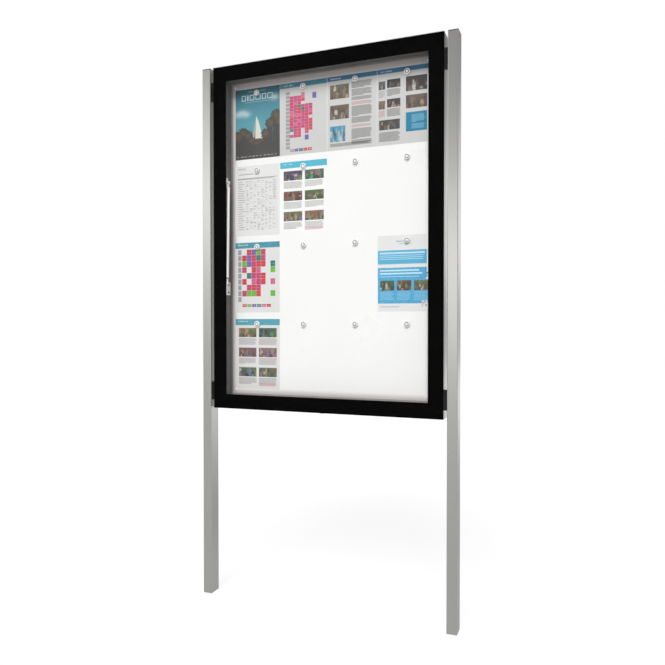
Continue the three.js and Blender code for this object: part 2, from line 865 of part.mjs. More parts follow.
function doorRailWithLockHoles(rail) {
  const barrel_hole = turnedAlongZ([
    [0, -2 * rail_wall],
    [lock_barrel_radius + seat_gap, -2 * rail_wall],
    [lock_barrel_radius + seat_gap, cut_overrun],
    [0, cut_overrun],
  ], 20);
  barrel_hole.translate(0, rail_front + door_rail_depth / 2, 0);
  return cut(rail, barrel_hole, camSlot(door_back - rail_wall - seat_gap, door_back + joint_gap / 2));
}

function lockBody() {
  const bore = lock_plug_radius + seat_gap;
  return turnedAlongZ([
    [bore, -lock_flange_height],
    [lock_flange_radius - lock_face_recess, -lock_flange_height],
    [lock_flange_radius, lock_face_recess - lock_flange_height],
    [lock_flange_radius, 0],
    [lock_barrel_radius, 0],
    [lock_barrel_radius, lock_barrel_height],
    [bore, lock_barrel_height],
    [bore, -lock_flange_height],
  ], 20);
}

// The turning plug has a key slot in its lower face and a square drive for the cam on top.
function lockPlug() {
  const face = lock_face_recess - lock_flange_height;
  const cylinder = turnedAlongZ([
    [0, face],
    [lock_plug_radius, face],
    [lock_plug_radius, lock_barrel_height],
    [0, lock_barrel_height],
  ], 18);
  const drive = box(drive_width, drive_width, 2 * drive_height);
  drive.translate(0, 0, lock_barrel_height);
  const key_slot = box(key_slot_length, key_slot_width, 2 * key_slot_depth);
  key_slot.translate(0, 0, face);
  return cut(joined(cylinder, drive), key_slot);
}

// A hooked cam that points along +X when unlocked. Its hook turns in behind the case's front wall.
function lockCam() {
  const neck = cam_neck_width / 2;
  const meet = Math.sqrt(cam_hub_radius ** 2 - neck ** 2);
  const meet_angle = Math.atan2(neck, meet);
  const shape = new THREE.Shape();
  shape.moveTo(cam_hook_start, neck);
  shape.lineTo(cam_hook_start, cam_hook_reach);
  shape.lineTo(cam_length, cam_hook_reach);
  shape.lineTo(cam_length, -neck);
  shape.lineTo(meet, -neck);
  shape.absarc(0, 0, cam_hub_radius, -meet_angle, meet_angle, true);
  const cam = new THREE.ExtrudeGeometry(shape, {
    depth: cam_thickness,
    bevelEnabled: false,
    curveSegments: 12,
  });
  const hole_width = drive_width + 2 * seat_gap;
  return cut(cam, box(hole_width, hole_width, 2 * cut_overrun));
}

function lock() {
  const chrome = { color: 0xd6d7d8, roughness: 0.15, metalness: 1 };
  const group = new THREE.Group();
  group.position.set(0, rail_front + door_rail_depth / 2, case_bottom_height - seat_gap);
  const body = piece('lock_body', lockBody(), chrome);
  const plug = piece('lock_plug', lockPlug(), chrome);
  const cam = piece('lock_cam', lockCam(), stainless_steel);
  cam.position.z = lock_barrel_height + seat_gap;
  group.add(body, plug, cam);
  return group;
}

function caseAssembly() {
  const group = new THREE.Group();
  const middle_height = (case_top_height + case_bottom_height) / 2;
  const panel = piece('display_panel', displayPanel(), { color: 0xf4f4f2, roughness: 0.3, metalness: 0 });
  panel.position.set(0, panel_front, middle_height);
  const rear = piece('rear_sheet', rearSheet(), { color: 0xb5b6b3, roughness: 0.5, metalness: 0.9 });
  rear.position.set(0, rear_sheet_front, middle_height);
  group.add(...frameBars('case', caseSection(), caseRailWithSlot), panel, rear, ...magnets());
  return group;
}

function doorAssembly() {
  const group = new THREE.Group();
  const glass = piece('door_glass', doorGlass(), {
    color: 0xeef3f0,
    roughness: 0.03,
    metalness: 0,
    transparent: true,
    opacity: 0.2,
  });
  glass.position.z = case_bottom_height;
  const border = piece('glass_border', glassBorder(), { color: 0x0c0d0c, roughness: 0.08, metalness: 0 });
  border.position.set(0, border_front, case_bottom_height);
  const gasket = piece('door_gasket', gasketRing(), { color: 0x1a1a1a, roughness: 0.8, metalness: 0 });
  gasket.position.set(0, door_back - gasket_groove_depth + seat_gap, case_bottom_height);
  group.add(...frameBars('door', doorSection(), doorRailWithLockHoles), glass, border, gasket);
  group.add(...doorCleats(), lock());
  return group;
}

const notice_board = new THREE.Group();
notice_board.add(postAssembly(-1), postAssembly(1), caseAssembly(), hinge(), strut(-1), strut(1));
notice_board.add(doorAssembly());
notice_board.position.y = -case_depth / 2;

export default notice_board;
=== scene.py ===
import json
import math
import random

import bmesh
import bpy
import numpy as np
from mathutils import Matrix, Vector


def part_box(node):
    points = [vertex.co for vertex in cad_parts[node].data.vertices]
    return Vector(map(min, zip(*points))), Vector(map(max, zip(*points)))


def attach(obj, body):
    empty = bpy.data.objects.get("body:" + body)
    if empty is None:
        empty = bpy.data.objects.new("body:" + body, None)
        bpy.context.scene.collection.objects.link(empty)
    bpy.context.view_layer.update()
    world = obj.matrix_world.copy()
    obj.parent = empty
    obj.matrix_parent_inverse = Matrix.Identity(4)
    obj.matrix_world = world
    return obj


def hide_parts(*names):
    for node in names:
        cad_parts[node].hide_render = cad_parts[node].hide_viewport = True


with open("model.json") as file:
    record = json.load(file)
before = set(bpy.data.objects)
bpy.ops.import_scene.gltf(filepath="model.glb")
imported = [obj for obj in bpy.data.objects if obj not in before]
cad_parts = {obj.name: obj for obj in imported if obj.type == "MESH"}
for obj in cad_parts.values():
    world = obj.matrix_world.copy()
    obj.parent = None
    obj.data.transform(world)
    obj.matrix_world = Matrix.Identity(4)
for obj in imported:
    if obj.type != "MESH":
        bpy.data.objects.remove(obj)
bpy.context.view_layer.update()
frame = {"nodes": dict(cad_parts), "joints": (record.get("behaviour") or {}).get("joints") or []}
random.seed(11)
mm = 0.001

# The camera stands at a reader's eye height, to the right of the board,
# and looks back at it across the left shoulder.
CAMERA_PLACE = Vector((0.9826, -2.4481, 1.1621))
TURNED_LEFT = math.radians(21.123)
TILTED_DOWN = math.radians(0.863)
SENSOR_WIDTH, LENS = 36, 35.370


def add_object(name, data):
    item = bpy.data.objects.new(name, data)
    bpy.context.scene.collection.objects.link(item)
    return item


camera_data = bpy.data.cameras.new("camera")
camera_data.sensor_width = SENSOR_WIDTH
camera_data.lens = LENS
camera_data.clip_start = 0.05
camera = add_object("camera", camera_data)
camera.location = CAMERA_PLACE
camera.rotation_euler = (math.pi / 2 - TILTED_DOWN, 0, TURNED_LEFT)
bpy.context.scene.camera = camera

# Two posts, rectangular aluminium tubes with a satin anodised skin.
# The die leaves faint lines along each tube. They stand open on the ground.
ALUMINIUM_TONES = (0.68, 0.675, 0.65), (0.70, 0.694, 0.67)
ALUMINIUM_ROUGHNESS = (0.264, 0.276)
DIE_LINES_ACROSS, DIE_LINES_ALONG = 900, 2.5
LEVEL, UPRIGHT = 0, 2
TONE_ENDS = 0.3, 0.7


def add_node(tree, kind, inputs, **settings):
    """A node with these settings. Each input is given as a value or as the socket that feeds it."""
    node = tree.nodes.new(kind)
    for key, value in settings.items():
        setattr(node, key, value)
    for key, value in inputs.items():
        if isinstance(value, bpy.types.NodeSocket):
            tree.links.new(value, node.inputs[key])
        else:
            node.inputs[key].default_value = value
    return node


def start_finish(name, plain=()):
    """A new material, its node tree, its Principled shader and its object coordinates.

    Plain holds the shader's inputs that have one value all over.
    """
    finish = bpy.data.materials.new(name)
    finish.use_nodes = True
    tree = finish.node_tree
    shader = tree.nodes["Principled BSDF"]
    for key, value in dict(plain).items():
        shader.inputs[key].default_value = value
    return finish, tree, shader, tree.nodes.new("ShaderNodeTexCoord").outputs["Object"]


def mottle(tree, place, scale, detail, roughness=0.5):
    """Noise in features per metre: one number, or one for each of X, Y and Z."""
    scale = scale if isinstance(scale, (tuple, list)) else (scale,) * 3
    stretch = add_node(tree, "ShaderNodeMapping", {"Vector": place, "Scale": scale})
    inputs = {"Vector": stretch.outputs["Vector"], "Scale": 1, "Detail": detail, "Roughness": roughness}
    return add_node(tree, "ShaderNodeTexNoise", inputs).outputs["Fac"]


def spread(tree, share, low, high, first=0, last=1, **settings):
    """Runs from first to last while share goes from low to high."""
    inputs = {"Value": share, "From Min": low, "From Max": high, "To Min": first, "To Max": last}
    return add_node(tree, "ShaderNodeMapRange", inputs, **settings).outputs["Result"]


def blend_tones(tree, share, tones, target, ends=TONE_ENDS):
    """Runs a colour from the first tone to the second while share goes from end to end."""
    ramp = add_node(tree, "ShaderNodeValToRGB", {"Fac": share})
    for stop, position, tone in zip(ramp.color_ramp.elements, ends, tones):
        stop.position = position
        stop.color = (*tone, 1)
    tree.links.new(ramp.outputs["Color"], target)


def vary_roughness(tree, share, limits, shader):
    tree.links.new(spread(tree, share, 0, 1, *limits), shader.inputs["Roughness"])


def raise_surface(tree, share, height, shader):
    """Bump whose full height is given in metres."""
    bump = add_node(tree, "ShaderNodeBump", {"Strength": 1, "Distance": height, "Height": share})
    tree.links.new(bump.outputs["Normal"], shader.inputs["Normal"])


def worn_finish(name, tones, wear, grain, roughness, height, metallic=0, by_grain=False, ends=TONE_ENDS):
    """Two tones that follow the wear, on a skin of this height that follows the grain.

    Wear and grain are mottles of (scale, detail). With no grain the skin follows the wear.
    The roughness follows the wear, or the grain where by_grain is set.
    """
    finish, tree, shader, place = start_finish(name, {"Metallic": metallic})
    worn = mottle(tree, place, *wear)
    grained = mottle(tree, place, *grain) if grain else worn
    blend_tones(tree, worn, tones, shader.inputs["Base Color"], ends)
    vary_roughness(tree, grained if by_grain else worn, roughness, shader)
    raise_surface(tree, grained, height, shader)
    return finish


def anodised(name, run):
    """Satin anodised extrusion with die lines along axis number run."""
    lines = [DIE_LINES_ACROSS] * 3
    lines[run] = DIE_LINES_ALONG
    clouds = ((7, 7, 5), 5)
    return worn_finish(name, ALUMINIUM_TONES, clouds, (lines, 4), ALUMINIUM_ROUGHNESS, 0.001 * mm, 1, True)


def cad_copy(name, node):
    """A copy of a construction node with its triangles joined into whole faces."""
    mesh = frame["nodes"][node].data.copy()
    mesh.name = name
    mesh.materials.clear()
    shape = bmesh.new()
    shape.from_mesh(mesh)
    bmesh.ops.remove_doubles(shape, verts=shape.verts, dist=0.002 * mm)
    bmesh.ops.dissolve_limit(shape, angle_limit=math.radians(0.5), verts=shape.verts, edges=shape.edges)
    shape.to_mesh(mesh)
    shape.free()
    return mesh


def add_modifier(item, name, kind, **settings):
    modifier = item.modifiers.new(name, kind)
    for key, value in settings.items():
        setattr(modifier, key, value)
    return modifier


def fit_piece(name, mesh, finish, body, nodes=(), edge=0.0, corner=40):
    """Puts a finished mesh on its body.

    Its corners are eased by edge millimetres, and it shades smooth below corner degrees.
    """
    mesh.materials.clear()
    mesh.materials.append(finish)
    mesh.shade_smooth()
    mesh.set_sharp_from_angle(angle=math.radians(corner))
    piece = add_object(name, mesh)
    if edge:
        add_modifier(
            piece, "eased edges", "BEVEL", width=edge * mm, segments=2,
            limit_method="ANGLE", angle_limit=math.radians(corner),
        )
        add_modifier(piece, "flat faces stay flat", "WEIGHTED_NORMAL", weight=100, keep_sharp=True)
    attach(piece, body)
    if nodes:
        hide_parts(*nodes)
    return piece


def fit_node(name, node, finish, body, edge):
    """Dresses a construction node in its own shape."""
    return fit_piece(name, cad_copy(name, node), finish, body, [node], edge)


upright_aluminium = anodised("upright_aluminium", UPRIGHT)
level_aluminium = anodised("level_aluminium", LEVEL)
for side in ("left", "right"):
    fit_node(f"{side}_post", f"post_{side}", upright_aluminium, "frame", 0.35)

# A thin cap of black plastic closes each post.
# It is pressed in on a hollow insert, and its plate shows as a dark line on top.
BLACK_TONES = (0.022, 0.021, 0.020), (0.045, 0.043, 0.041)
black_plastic = worn_finish(
    "black_moulding", BLACK_TONES, (60, 6), (1400, 2), (0.5, 0.7), 0.06 * mm, ends=(0.35, 0.75),
)
for side in ("left", "right"):
    fit_node(f"{side}_post_cap", f"post_cap_{side}", black_plastic, "frame", 0.2)

# Four black moulded blocks hold the case off its posts.
# Each is bored for two bolts that pass from the post into the case.
for level in ("upper", "lower"):
    for side in ("left", "right"):
        node = f"spacer_{level}_{side}"
        fit_node(f"{side}_{level}_spacer", node, black_plastic, "frame", 0.3)

# The case is a frame of four mitred aluminium bars, hollow, each with a flange inside.
# The corners are cut at 45 degrees and closed tight. The faces round the panel are a dull dark grey, as
# painted shade inside the case.
INNER_SHADE_TONES = (0.15, 0.146, 0.142), (0.18, 0.175, 0.17)
OPENING_EDGE = 4 * mm

panel_low, panel_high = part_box("display_panel")
inner_shade_grey = worn_finish("inner_shade_grey", INNER_SHADE_TONES, (12, 5), (160, 4), (0.5, 0.6), 0.02 * mm, 0.2)


def paint_inner_shade(mesh):
    """Gives the faces that look into the case a dull dark grey: painted shade inside the case."""
    mesh.materials.append(inner_shade_grey)
    for face in mesh.polygons:
        x, z = face.center.x, face.center.z
        across = panel_low.x - OPENING_EDGE < x < panel_high.x + OPENING_EDGE
        upright = panel_low.z - OPENING_EDGE < z < panel_high.z + OPENING_EDGE
        face.material_index = int(across and upright)


def fit_frame(name, body, edge):
    """The four mitred bars of the case or of the door."""
    for bar in ("rail_top", "rail_bottom", "stile_left", "stile_right"):
        finish = level_aluminium if bar.startswith("rail") else upright_aluminium
        fitted = fit_node(f"{name}_bar_{bar}", f"{name}_{bar}", finish, body, edge)
        paint_inner_shade(fitted.data)


fit_frame("case", "frame", 0.3)

# The display panel is a steel sheet with a white stoved enamel, so that magnets hold on it.
# It is screwed to the flange of the case. Its enamel is darker along its edges, most at the top: painted
# shade from the walls of the case.
ENAMEL_TONES = (0.905, 0.90, 0.893), (0.88, 0.874, 0.866)
EDGE_SHADE = (0.56, 0.515, 0.50)
EDGE_SHADE_FULL, EDGE_SHADE_END = 5 * mm, 32 * mm
EDGE_SHADE_DROP = 14 * mm


def worked(tree, operation, first, second=0):
    """The result of a sum on two values or sockets."""
    return add_node(tree, "ShaderNodeMath", {0: first, 1: second}, operation=operation).outputs["Value"]


white_enamel, tree, shader, place = start_finish("white_enamel")
split = add_node(tree, "ShaderNodeSeparateXYZ", {"Vector": place})
to_edges = []
for axis, low, high in (("X", panel_low.x, panel_high.x), ("Z", panel_low.z, panel_high.z - EDGE_SHADE_DROP)):
    from_middle = worked(tree, "ABSOLUTE", worked(tree, "SUBTRACT", split.outputs[axis], (low + high) / 2))
    to_edges.append(worked(tree, "SUBTRACT", (high - low) / 2, from_middle))
to_edge = worked(tree, "MINIMUM", *to_edges)
# Painted shade: the enamel darkens towards the panel's edges, and reaches furthest down from the top edge.
edge_shade_share = spread(tree, to_edge, EDGE_SHADE_END, EDGE_SHADE_FULL, interpolation_type="SMOOTHSTEP")
enamel = add_node(tree, "ShaderNodeMix", {"Factor": edge_shade_share, "B": (*EDGE_SHADE, 1)}, data_type="RGBA")
tint = mottle(tree, place, 4, 4)
blend_tones(tree, tint, ENAMEL_TONES, enamel.inputs["A"])
tree.links.new(enamel.outputs["Result"], shader.inputs["Base Color"])
vary_roughness(tree, tint, (0.24, 0.34), shader)
raise_surface(tree, mottle(tree, place, 260, 2), 0.02 * mm, shader)
fit_node("enamelled_panel", "display_panel", white_enamel, "frame", 0.2)

# A narrow grey plastic edging lies round the panel, against the inner walls of the case.
# It is cut from strip, and covers the joint between the panel and the bars. Its dark grey is painted shade
# along the panel's edge.
EDGING_SHADE_TONES = (0.27, 0.262, 0.255), (0.32, 0.312, 0.30)
EDGING_REACH = Vector((2.8 * mm, 0, 2.8 * mm))
EDGING_WIDTH = 8 * mm
EDGING_THICKNESS = 1.4 * mm


def ring_mesh(name, low, high, width, back, thickness):
    """A flat rectangular ring from corner low to corner high in X and Z."""
    points = [
        (x, y, z)
        for y in (back - thickness, back)
        for inset in (0, width)
        for x, z in (
            (low.x + inset, low.z + inset), (high.x - inset, low.z + inset),
            (high.x - inset, high.z - inset), (low.x + inset, high.z - inset),
        )
    ]
    faces = []
    for i in range(4):
        j = (i + 1) % 4
        faces += [(i, j, j + 4, i + 4), (i + 8, i + 12, j + 12, j + 8)]
        faces += [(i, i + 8, j + 8, j), (i + 4, j + 4, j + 12, i + 12)]
    mesh = bpy.data.meshes.new(name)
    mesh.from_pydata(points, [], faces)
    return mesh


shade_edging = worn_finish("shade_edging", EDGING_SHADE_TONES, (30, 6), (1300, 2), (0.45, 0.6), 0.03 * mm)
edging = ring_mesh(
    "panel_edging", panel_low - EDGING_REACH, panel_high + EDGING_REACH,
    EDGING_WIDTH, panel_low.y, EDGING_THICKNESS,
)
fit_piece("panel_edging", edging, shade_edging, "frame", edge=0.2)

# Panel screws: domed heads with a cross recess, lacquered white after fitting.
# One sits in each corner hole of the panel.
STEEL_TONES = (0.44, 0.435, 0.43), (0.56, 0.555, 0.55)
PANEL_SCREW_INSET = 19 * mm
PANEL_SCREW_SIZE = (9.5 * mm, 9.5 * mm, 4.5 * mm)
RECESS_BAR = (0.56, 0.13, 0.8)
RECESS_HEIGHT = 0.9
WHITE_TONES = (0.88, 0.88, 0.87), (0.92, 0.92, 0.91)
FACING_FRONT = (math.pi / 2, 0, 0)


def brushed_steel(name, run, tones=STEEL_TONES, roughness=(0.22, 0.4)):
    """Stainless steel, with brush marks along axis number run."""
    scale = [1500] * 3
    scale[run] = 20
    return worn_finish(name, tones, (scale, 3), None, roughness, 0.02 * mm, 1)


def turned(name, profile, steps, matrix=None):
    """A solid of revolution about Z.

    The profile runs (radius, height) from the axis back to the axis, or closes on itself.
    """
    shape = bmesh.new()
    rings = []
    for radius, height in profile:
        if radius < 1e-7:
            rings.append([shape.verts.new((0, 0, height))])
            continue
        angles = [2 * math.pi * i / steps for i in range(steps)]
        rings.append([shape.verts.new((radius * math.cos(a), radius * math.sin(a), height)) for a in angles])
    closes_on_itself = len(rings[0]) > 1
    for lower, upper in zip(rings, rings[1:] + (rings[:1] if closes_on_itself else [])):
        for i in range(steps):
            j = (i + 1) % steps
            walk = ((lower, i), (lower, j), (upper, j), (upper, i))
            corners = list(dict.fromkeys(ring[k % len(ring)] for ring, k in walk))
            if len(corners) > 2:
                shape.faces.new(corners)
    bmesh.ops.recalc_face_normals(shape, faces=shape.faces)
    mesh = bpy.data.meshes.new(name)
    shape.to_mesh(mesh)
    shape.free()
    if matrix is not None:
        mesh.transform(matrix)
    return mesh


def rounded(radius, height, middle_radius, middle_height, start, end, steps):
    """Points of an arc in a profile, from start to end degrees."""
    angles = [math.radians(start + (end - start) * i / steps) for i in range(steps + 1)]
    return [(middle_radius + radius * math.cos(a), middle_height + height * math.sin(a)) for a in angles]


def made_mesh(item):
    """The mesh of an object with its modifiers applied."""
    return bpy.data.meshes.new_from_object(item.evaluated_get(bpy.context.evaluated_depsgraph_get()))


def screw_head(name):
    """A raised head of unit diameter and unit height along +Z, with a cross cut into it."""
    dome = [(0, -0.02), (0.5, -0.02), *rounded(0.5, 0.9, 0, 0.1, 0, 82, 6), (0, 1)]
    head = add_object(name, turned(name, dome, 24))
    for turn in (0, 90):
        bar = bmesh.new()
        bmesh.ops.create_cube(bar, size=1)
        bmesh.ops.scale(bar, verts=bar.verts, vec=RECESS_BAR)
        turning = Matrix.Rotation(math.radians(turn), 3, "Z")
        bmesh.ops.rotate(bar, verts=bar.verts, cent=(0, 0, 0), matrix=turning)
        bmesh.ops.translate(bar, verts=bar.verts, vec=(0, 0, RECESS_HEIGHT))
        bar_mesh = bpy.data.meshes.new("recess")
        bar.to_mesh(bar_mesh)
        bar.free()
        cutter = add_object("recess", bar_mesh)
        add_modifier(head, "recess", "BOOLEAN", operation="DIFFERENCE", object=cutter)
        mesh = made_mesh(head)
        head.modifiers.clear()
        head.data = mesh
        bpy.data.objects.remove(cutter)
    bpy.data.objects.remove(head)
    return mesh


def start_tree(name, **inputs):
    """A Geometry Nodes tree with these named inputs of these kinds, and their sockets."""
    tree = bpy.data.node_groups.new(name, "GeometryNodeTree")
    tree.is_modifier = True
    for label, kind in inputs.items():
        tree.interface.new_socket(label, in_out="INPUT", socket_type=f"NodeSocket{kind}")
    tree.interface.new_socket("Geometry", in_out="OUTPUT", socket_type="NodeSocketGeometry")
    return tree, tree.nodes.new("NodeGroupInput").outputs


def end_tree(tree, points, source, rotation, standing=None):
    """Sets the item on every point, makes the items real, stands them up and gives them their finish."""
    item = add_node(tree, "GeometryNodeObjectInfo", {"Object": source["Item"]}).outputs["Geometry"]
    inputs = {"Points": points, "Instance": item, "Rotation": rotation, "Scale": source["Size"]}
    items = add_node(tree, "GeometryNodeInstanceOnPoints", inputs).outputs["Instances"]
    shape = add_node(tree, "GeometryNodeRealizeInstances", {"Geometry": items}).outputs["Geometry"]
    if standing:
        shape = add_node(tree, "GeometryNodeTransform", {"Geometry": shape, **standing}).outputs["Geometry"]
    finished = add_node(tree, "GeometryNodeSetMaterial", {"Geometry": shape, "Material": source["Finish"]})
    add_node(tree, "NodeGroupOutput", {"Geometry": finished.outputs["Geometry"]})


def grown(name, tree, values, start=None):
    """The mesh that a tree makes from a start mesh and these values for its named inputs."""
    holder = add_object(name, start or bpy.data.meshes.new(name))
    grower = add_modifier(holder, "grower", "NODES", node_group=tree)
    for socket in tree.interface.items_tree:
        if socket.in_out == "INPUT" and socket.name in values:
            grower[socket.identifier] = values[socket.name]
    mesh = made_mesh(holder)
    mesh.name = name
    holder.modifiers.clear()
    bpy.data.objects.remove(holder)
    return mesh


items_tree, source = start_tree(
    "placed_items", Geometry="Geometry", Item="Object", Turn="Vector", Size="Vector", Finish="Material",
)
end_tree(items_tree, source["Geometry"], source, source["Turn"])


def fit_items(name, places, item, turn, size, finish, body, nodes=()):
    """One piece of equal items at these places, turned and sized alike."""
    points = bpy.data.meshes.new(name)
    points.from_pydata(places, [], [])
    values = {"Item": item, "Turn": turn, "Size": size, "Finish": finish}
    return fit_piece(name, grown(name, items_tree, values, points), finish, body, nodes)


level_steel = brushed_steel("level_steel", LEVEL)
screw_item = add_object("screw_item", screw_head("screw_item"))
panel_screw_places = [
    (x, panel_low.y, z)
    for x in (panel_low.x + PANEL_SCREW_INSET, panel_high.x - PANEL_SCREW_INSET)
    for z in (panel_low.z + PANEL_SCREW_INSET, panel_high.z - PANEL_SCREW_INSET)
]
white_lacquer = worn_finish("white_lacquer", WHITE_TONES, (200, 4), (700, 3), (0.2, 0.32), 0.02 * mm)
fit_items(
    "panel_screws", panel_screw_places, screw_item, FACING_FRONT, PANEL_SCREW_SIZE,
    white_lacquer, "frame",
)

# The rear sheet is plain aluminium and closes the case from behind.
# Blind rivets run round its edge, on the flange of the bars.
MILL_TONES = (0.50, 0.50, 0.50), (0.60, 0.60, 0.595)
RIVET_EDGE = 8 * mm
RIVET_PITCH = 130 * mm
RIVET_SIZE = (5 * mm, 5 * mm, 0.9 * mm)


def mill_finish(name, run):
    """Bare rolled or pressed aluminium, dull and cloudy, with marks along axis number run."""
    scale = [400] * 3
    scale[run] = 6
    return worn_finish(name, MILL_TONES, (9, 6), (scale, 4), (0.42, 0.58), 0.03 * mm, 1, True)


mill_aluminium = mill_finish("mill_aluminium", UPRIGHT)
fit_node("rear_cover", "rear_sheet", mill_aluminium, "frame", 0.2)

rivet_profile = [
    (0, -0.05), (0.5, -0.05), (0.5, 0.15), *rounded(0.3, 0.7, 0.2, 0.25, 12, 84, 5),
    (0.19, 0.8), (0.13, 0.45), (0, 0.45),
]
rivet_item = add_object("rivet_item", turned("rivet_item", rivet_profile, 20))
rivet_tree, source = start_tree(
    "rivets_on_rectangle", Item="Object", Width="Float", Height="Float", Pitch="Float",
    Place="Vector", Size="Vector", Finish="Material",
)
outline = add_node(
    rivet_tree, "GeometryNodeCurvePrimitiveQuadrilateral",
    {"Width": source["Width"], "Height": source["Height"]},
)
rivet_points = add_node(
    rivet_tree, "GeometryNodeCurveToPoints", {"Curve": outline.outputs["Curve"], "Length": source["Pitch"]},
    mode="LENGTH",
)
end_tree(
    rivet_tree, rivet_points.outputs["Points"], source, (0, 0, 0),
    {"Rotation": (-math.pi / 2, 0, 0), "Translation": source["Place"]},
)
sheet_low, sheet_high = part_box("rear_sheet")
rear_rivets = grown("rear_rivets", rivet_tree, {
    "Item": rivet_item,
    "Width": sheet_high.x - sheet_low.x - 2 * RIVET_EDGE,
    "Height": sheet_high.z - sheet_low.z - 2 * RIVET_EDGE,
    "Pitch": RIVET_PITCH,
    "Place": (0, sheet_high.y, (sheet_low.z + sheet_high.z) / 2),
    "Size": RIVET_SIZE,
    "Finish": mill_aluminium,
})
fit_piece("rear_rivets", rear_rivets, mill_aluminium, "frame")

# Nine paper notices hang in columns and rows, each held by the magnet at its top.
# They are colour prints on A4 office paper whose lower corners have begun to lift.
PAGE_WIDTH = 210
PAGE_HEIGHT = 297
FIRST_PAGE_LEFT = -420.5
FIRST_PAGE_TOP = 2154
COLUMN_PITCH = 213
ROW_PITCH = 325.5
PAPER_PLANE = panel_low.y - 0.15 * mm
PAPER_THICKNESS = 0.12 * mm
CORNER_LIFT = 0.5 * mm
LIFT_START, LIFT_REACH = 0.72, 0.28
MESH_STEP, POSTER_STEP = 15, 2
INK_LAYERS = "ink", "ink_second"
PATCH_ENDS = 0.42, 0.58


def ink(red, green, blue):
    """A printed colour given by its screen values from 0 to 255."""
    return tuple(
        (value / 255 / 12.92) if value < 11 else ((value / 255 + 0.055) / 1.055) ** 2.4
        for value in (red, green, blue)
    )


# The top row's grey paper is partly the paper's own tone and partly painted shade under the top of the case.
GREY_AND_SHADED_PAPER = ink(202, 202, 201)
LIGHT_PAPER = ink(221, 220, 219)
PALE_PAPER = ink(226, 225, 225)
WHITE_PAPER = ink(244, 244, 243)
TEXT_GREY = ink(150, 148, 149)
TEXT_DARK = ink(62, 60, 62)
TEXT_RED = ink(186, 124, 128)
LABEL_GREY = ink(158, 157, 160)
TEAL = ink(84, 158, 176)
DEEP_TEAL = ink(66, 132, 150)
CYAN = ink(84, 180, 202)
BLUE = ink(58, 112, 146)
BRIGHT_BLUE = ink(94, 172, 208)
MAGENTA = ink(190, 66, 112)
PINK = ink(198, 98, 136)
RED = ink(196, 66, 72)
VIOLET = ink(116, 96, 166)
LEAF_GREEN = ink(106, 174, 60)
SEA_GREEN = ink(52, 116, 116)
DARK_TONES, MIDDLE_TONES, LIGHT_TONES, BRIGHT_TONES = (
    [ink(*tone) for tone in tones] for tones in (
        ((54, 48, 48), (78, 66, 58), (50, 48, 54), (66, 72, 58), (96, 80, 68), (64, 62, 66)),
        ((128, 112, 98), (104, 92, 84), (146, 128, 110), (96, 96, 98), (118, 110, 96)),
        ((188, 178, 166), (214, 208, 200), (170, 150, 132), (196, 150, 126)),
        ((108, 158, 70), (156, 62, 66), (104, 116, 168), (86, 170, 140), (176, 96, 132)),
    )
)
PICTURE_GRAIN = 3
PARAGRAPHS = 9, 11, 13
SHORT_TEXT = 6


def mix(first, second, share):
    return tuple(a + (b - a) * share for a, b in zip(first, second))


def block(marks, left, top, right, bottom, colour, second=None):
    """A printed rectangle. Where it has a second ink, the two mottle."""
    marks.append((left, top, right, bottom, colour, second or colour))


def text_lines(marks, left, top, width, count, colour=TEXT_GREY, pitch=3.4, thick=1.6):
    """Lines of print shown as bars, in paragraphs that end in a short line and a gap."""
    paragraph = random.choice(PARAGRAPHS)
    for line in range(count):
        place = (line + 1) % paragraph
        if count > SHORT_TEXT and place == 0:
            continue
        last = count > SHORT_TEXT and place == paragraph - 1
        reach = width * random.choice((0.35, 0.6) if last else (1, 1, 0.97, 0.93))
        y = top + line * pitch
        block(marks, left, y, left + reach, y + thick, colour)


def picture(marks, left, top, width, height, bright=0, sky=None):
    """A small invented picture: round and upright shapes before a ground.

    Bright sets how many of them are coloured. A sky makes a plain ground with pale shapes.
    """
    back = sky or random.choice(random.choice((DARK_TONES, MIDDLE_TONES)))
    ground = sky or random.choice(DARK_TONES)
    if bright:
        back = mix(back, random.choice(BRIGHT_TONES), 0.25)
    weights = (1, 1, 6, 0) if sky else (4, 3, 2, bright)
    shapes = []
    for _ in range(round(width / 4)):
        tones = random.choices((DARK_TONES, MIDDLE_TONES, LIGHT_TONES, BRIGHT_TONES), weights)[0]
        shapes.append((
            random.uniform(0, 1) * width, random.uniform(0.3, 1) * height,
            random.uniform(0.04, 0.11) * width, random.uniform(0.14, 0.42) * height, random.choice(tones),
        ))
    columns, rows = round(width / PICTURE_GRAIN), round(height / PICTURE_GRAIN)
    for row in range(rows):
        for column in range(columns):
            x, y = (column + 0.5) * PICTURE_GRAIN, (row + 0.5) * PICTURE_GRAIN
            tone = mix(back, ground, y / height)
            for middle_x, middle_y, reach_x, reach_y, shape_tone in shapes:
                distance = math.hypot((x - middle_x) / reach_x, (y - middle_y) / reach_y)
                if distance < 1:
                    tone = mix(shape_tone, back, 0.5 * distance)
            x, y = left + column * PICTURE_GRAIN, top + row * PICTURE_GRAIN
            block(marks, x, y, x + PICTURE_GRAIN, y + PICTURE_GRAIN, tone, mix(tone, back, 0.45))


def timetable(marks, left, top, cell, rows, columns, inks, filled):
    """Coloured cells of a timetable, in runs down its columns."""
    width, height = cell
    for column in range(columns):
        for row in range(rows):
            if random.random() > filled[column]:
                continue
            colour = random.choice(inks)
            x, y = left + column * width, top + row * height
            block(marks, x + 0.4, y + 0.4, x + width - 0.4, y + height - 0.4, colour)
            pale = mix(colour, PALE_PAPER, 0.6)
            block(marks, x + 2, y + height / 2 - 0.5, x + width - 3, y + height / 2 + 0.5, pale, colour)


def hour_label(marks, left, top, width, height):
    """A grey box with small print, at the head of a row."""
    block(marks, left, top, left + width, top + height, LABEL_GREY)
    text_lines(marks, left + 2, top + 3, width - 4, int(height / 4), pitch=4)


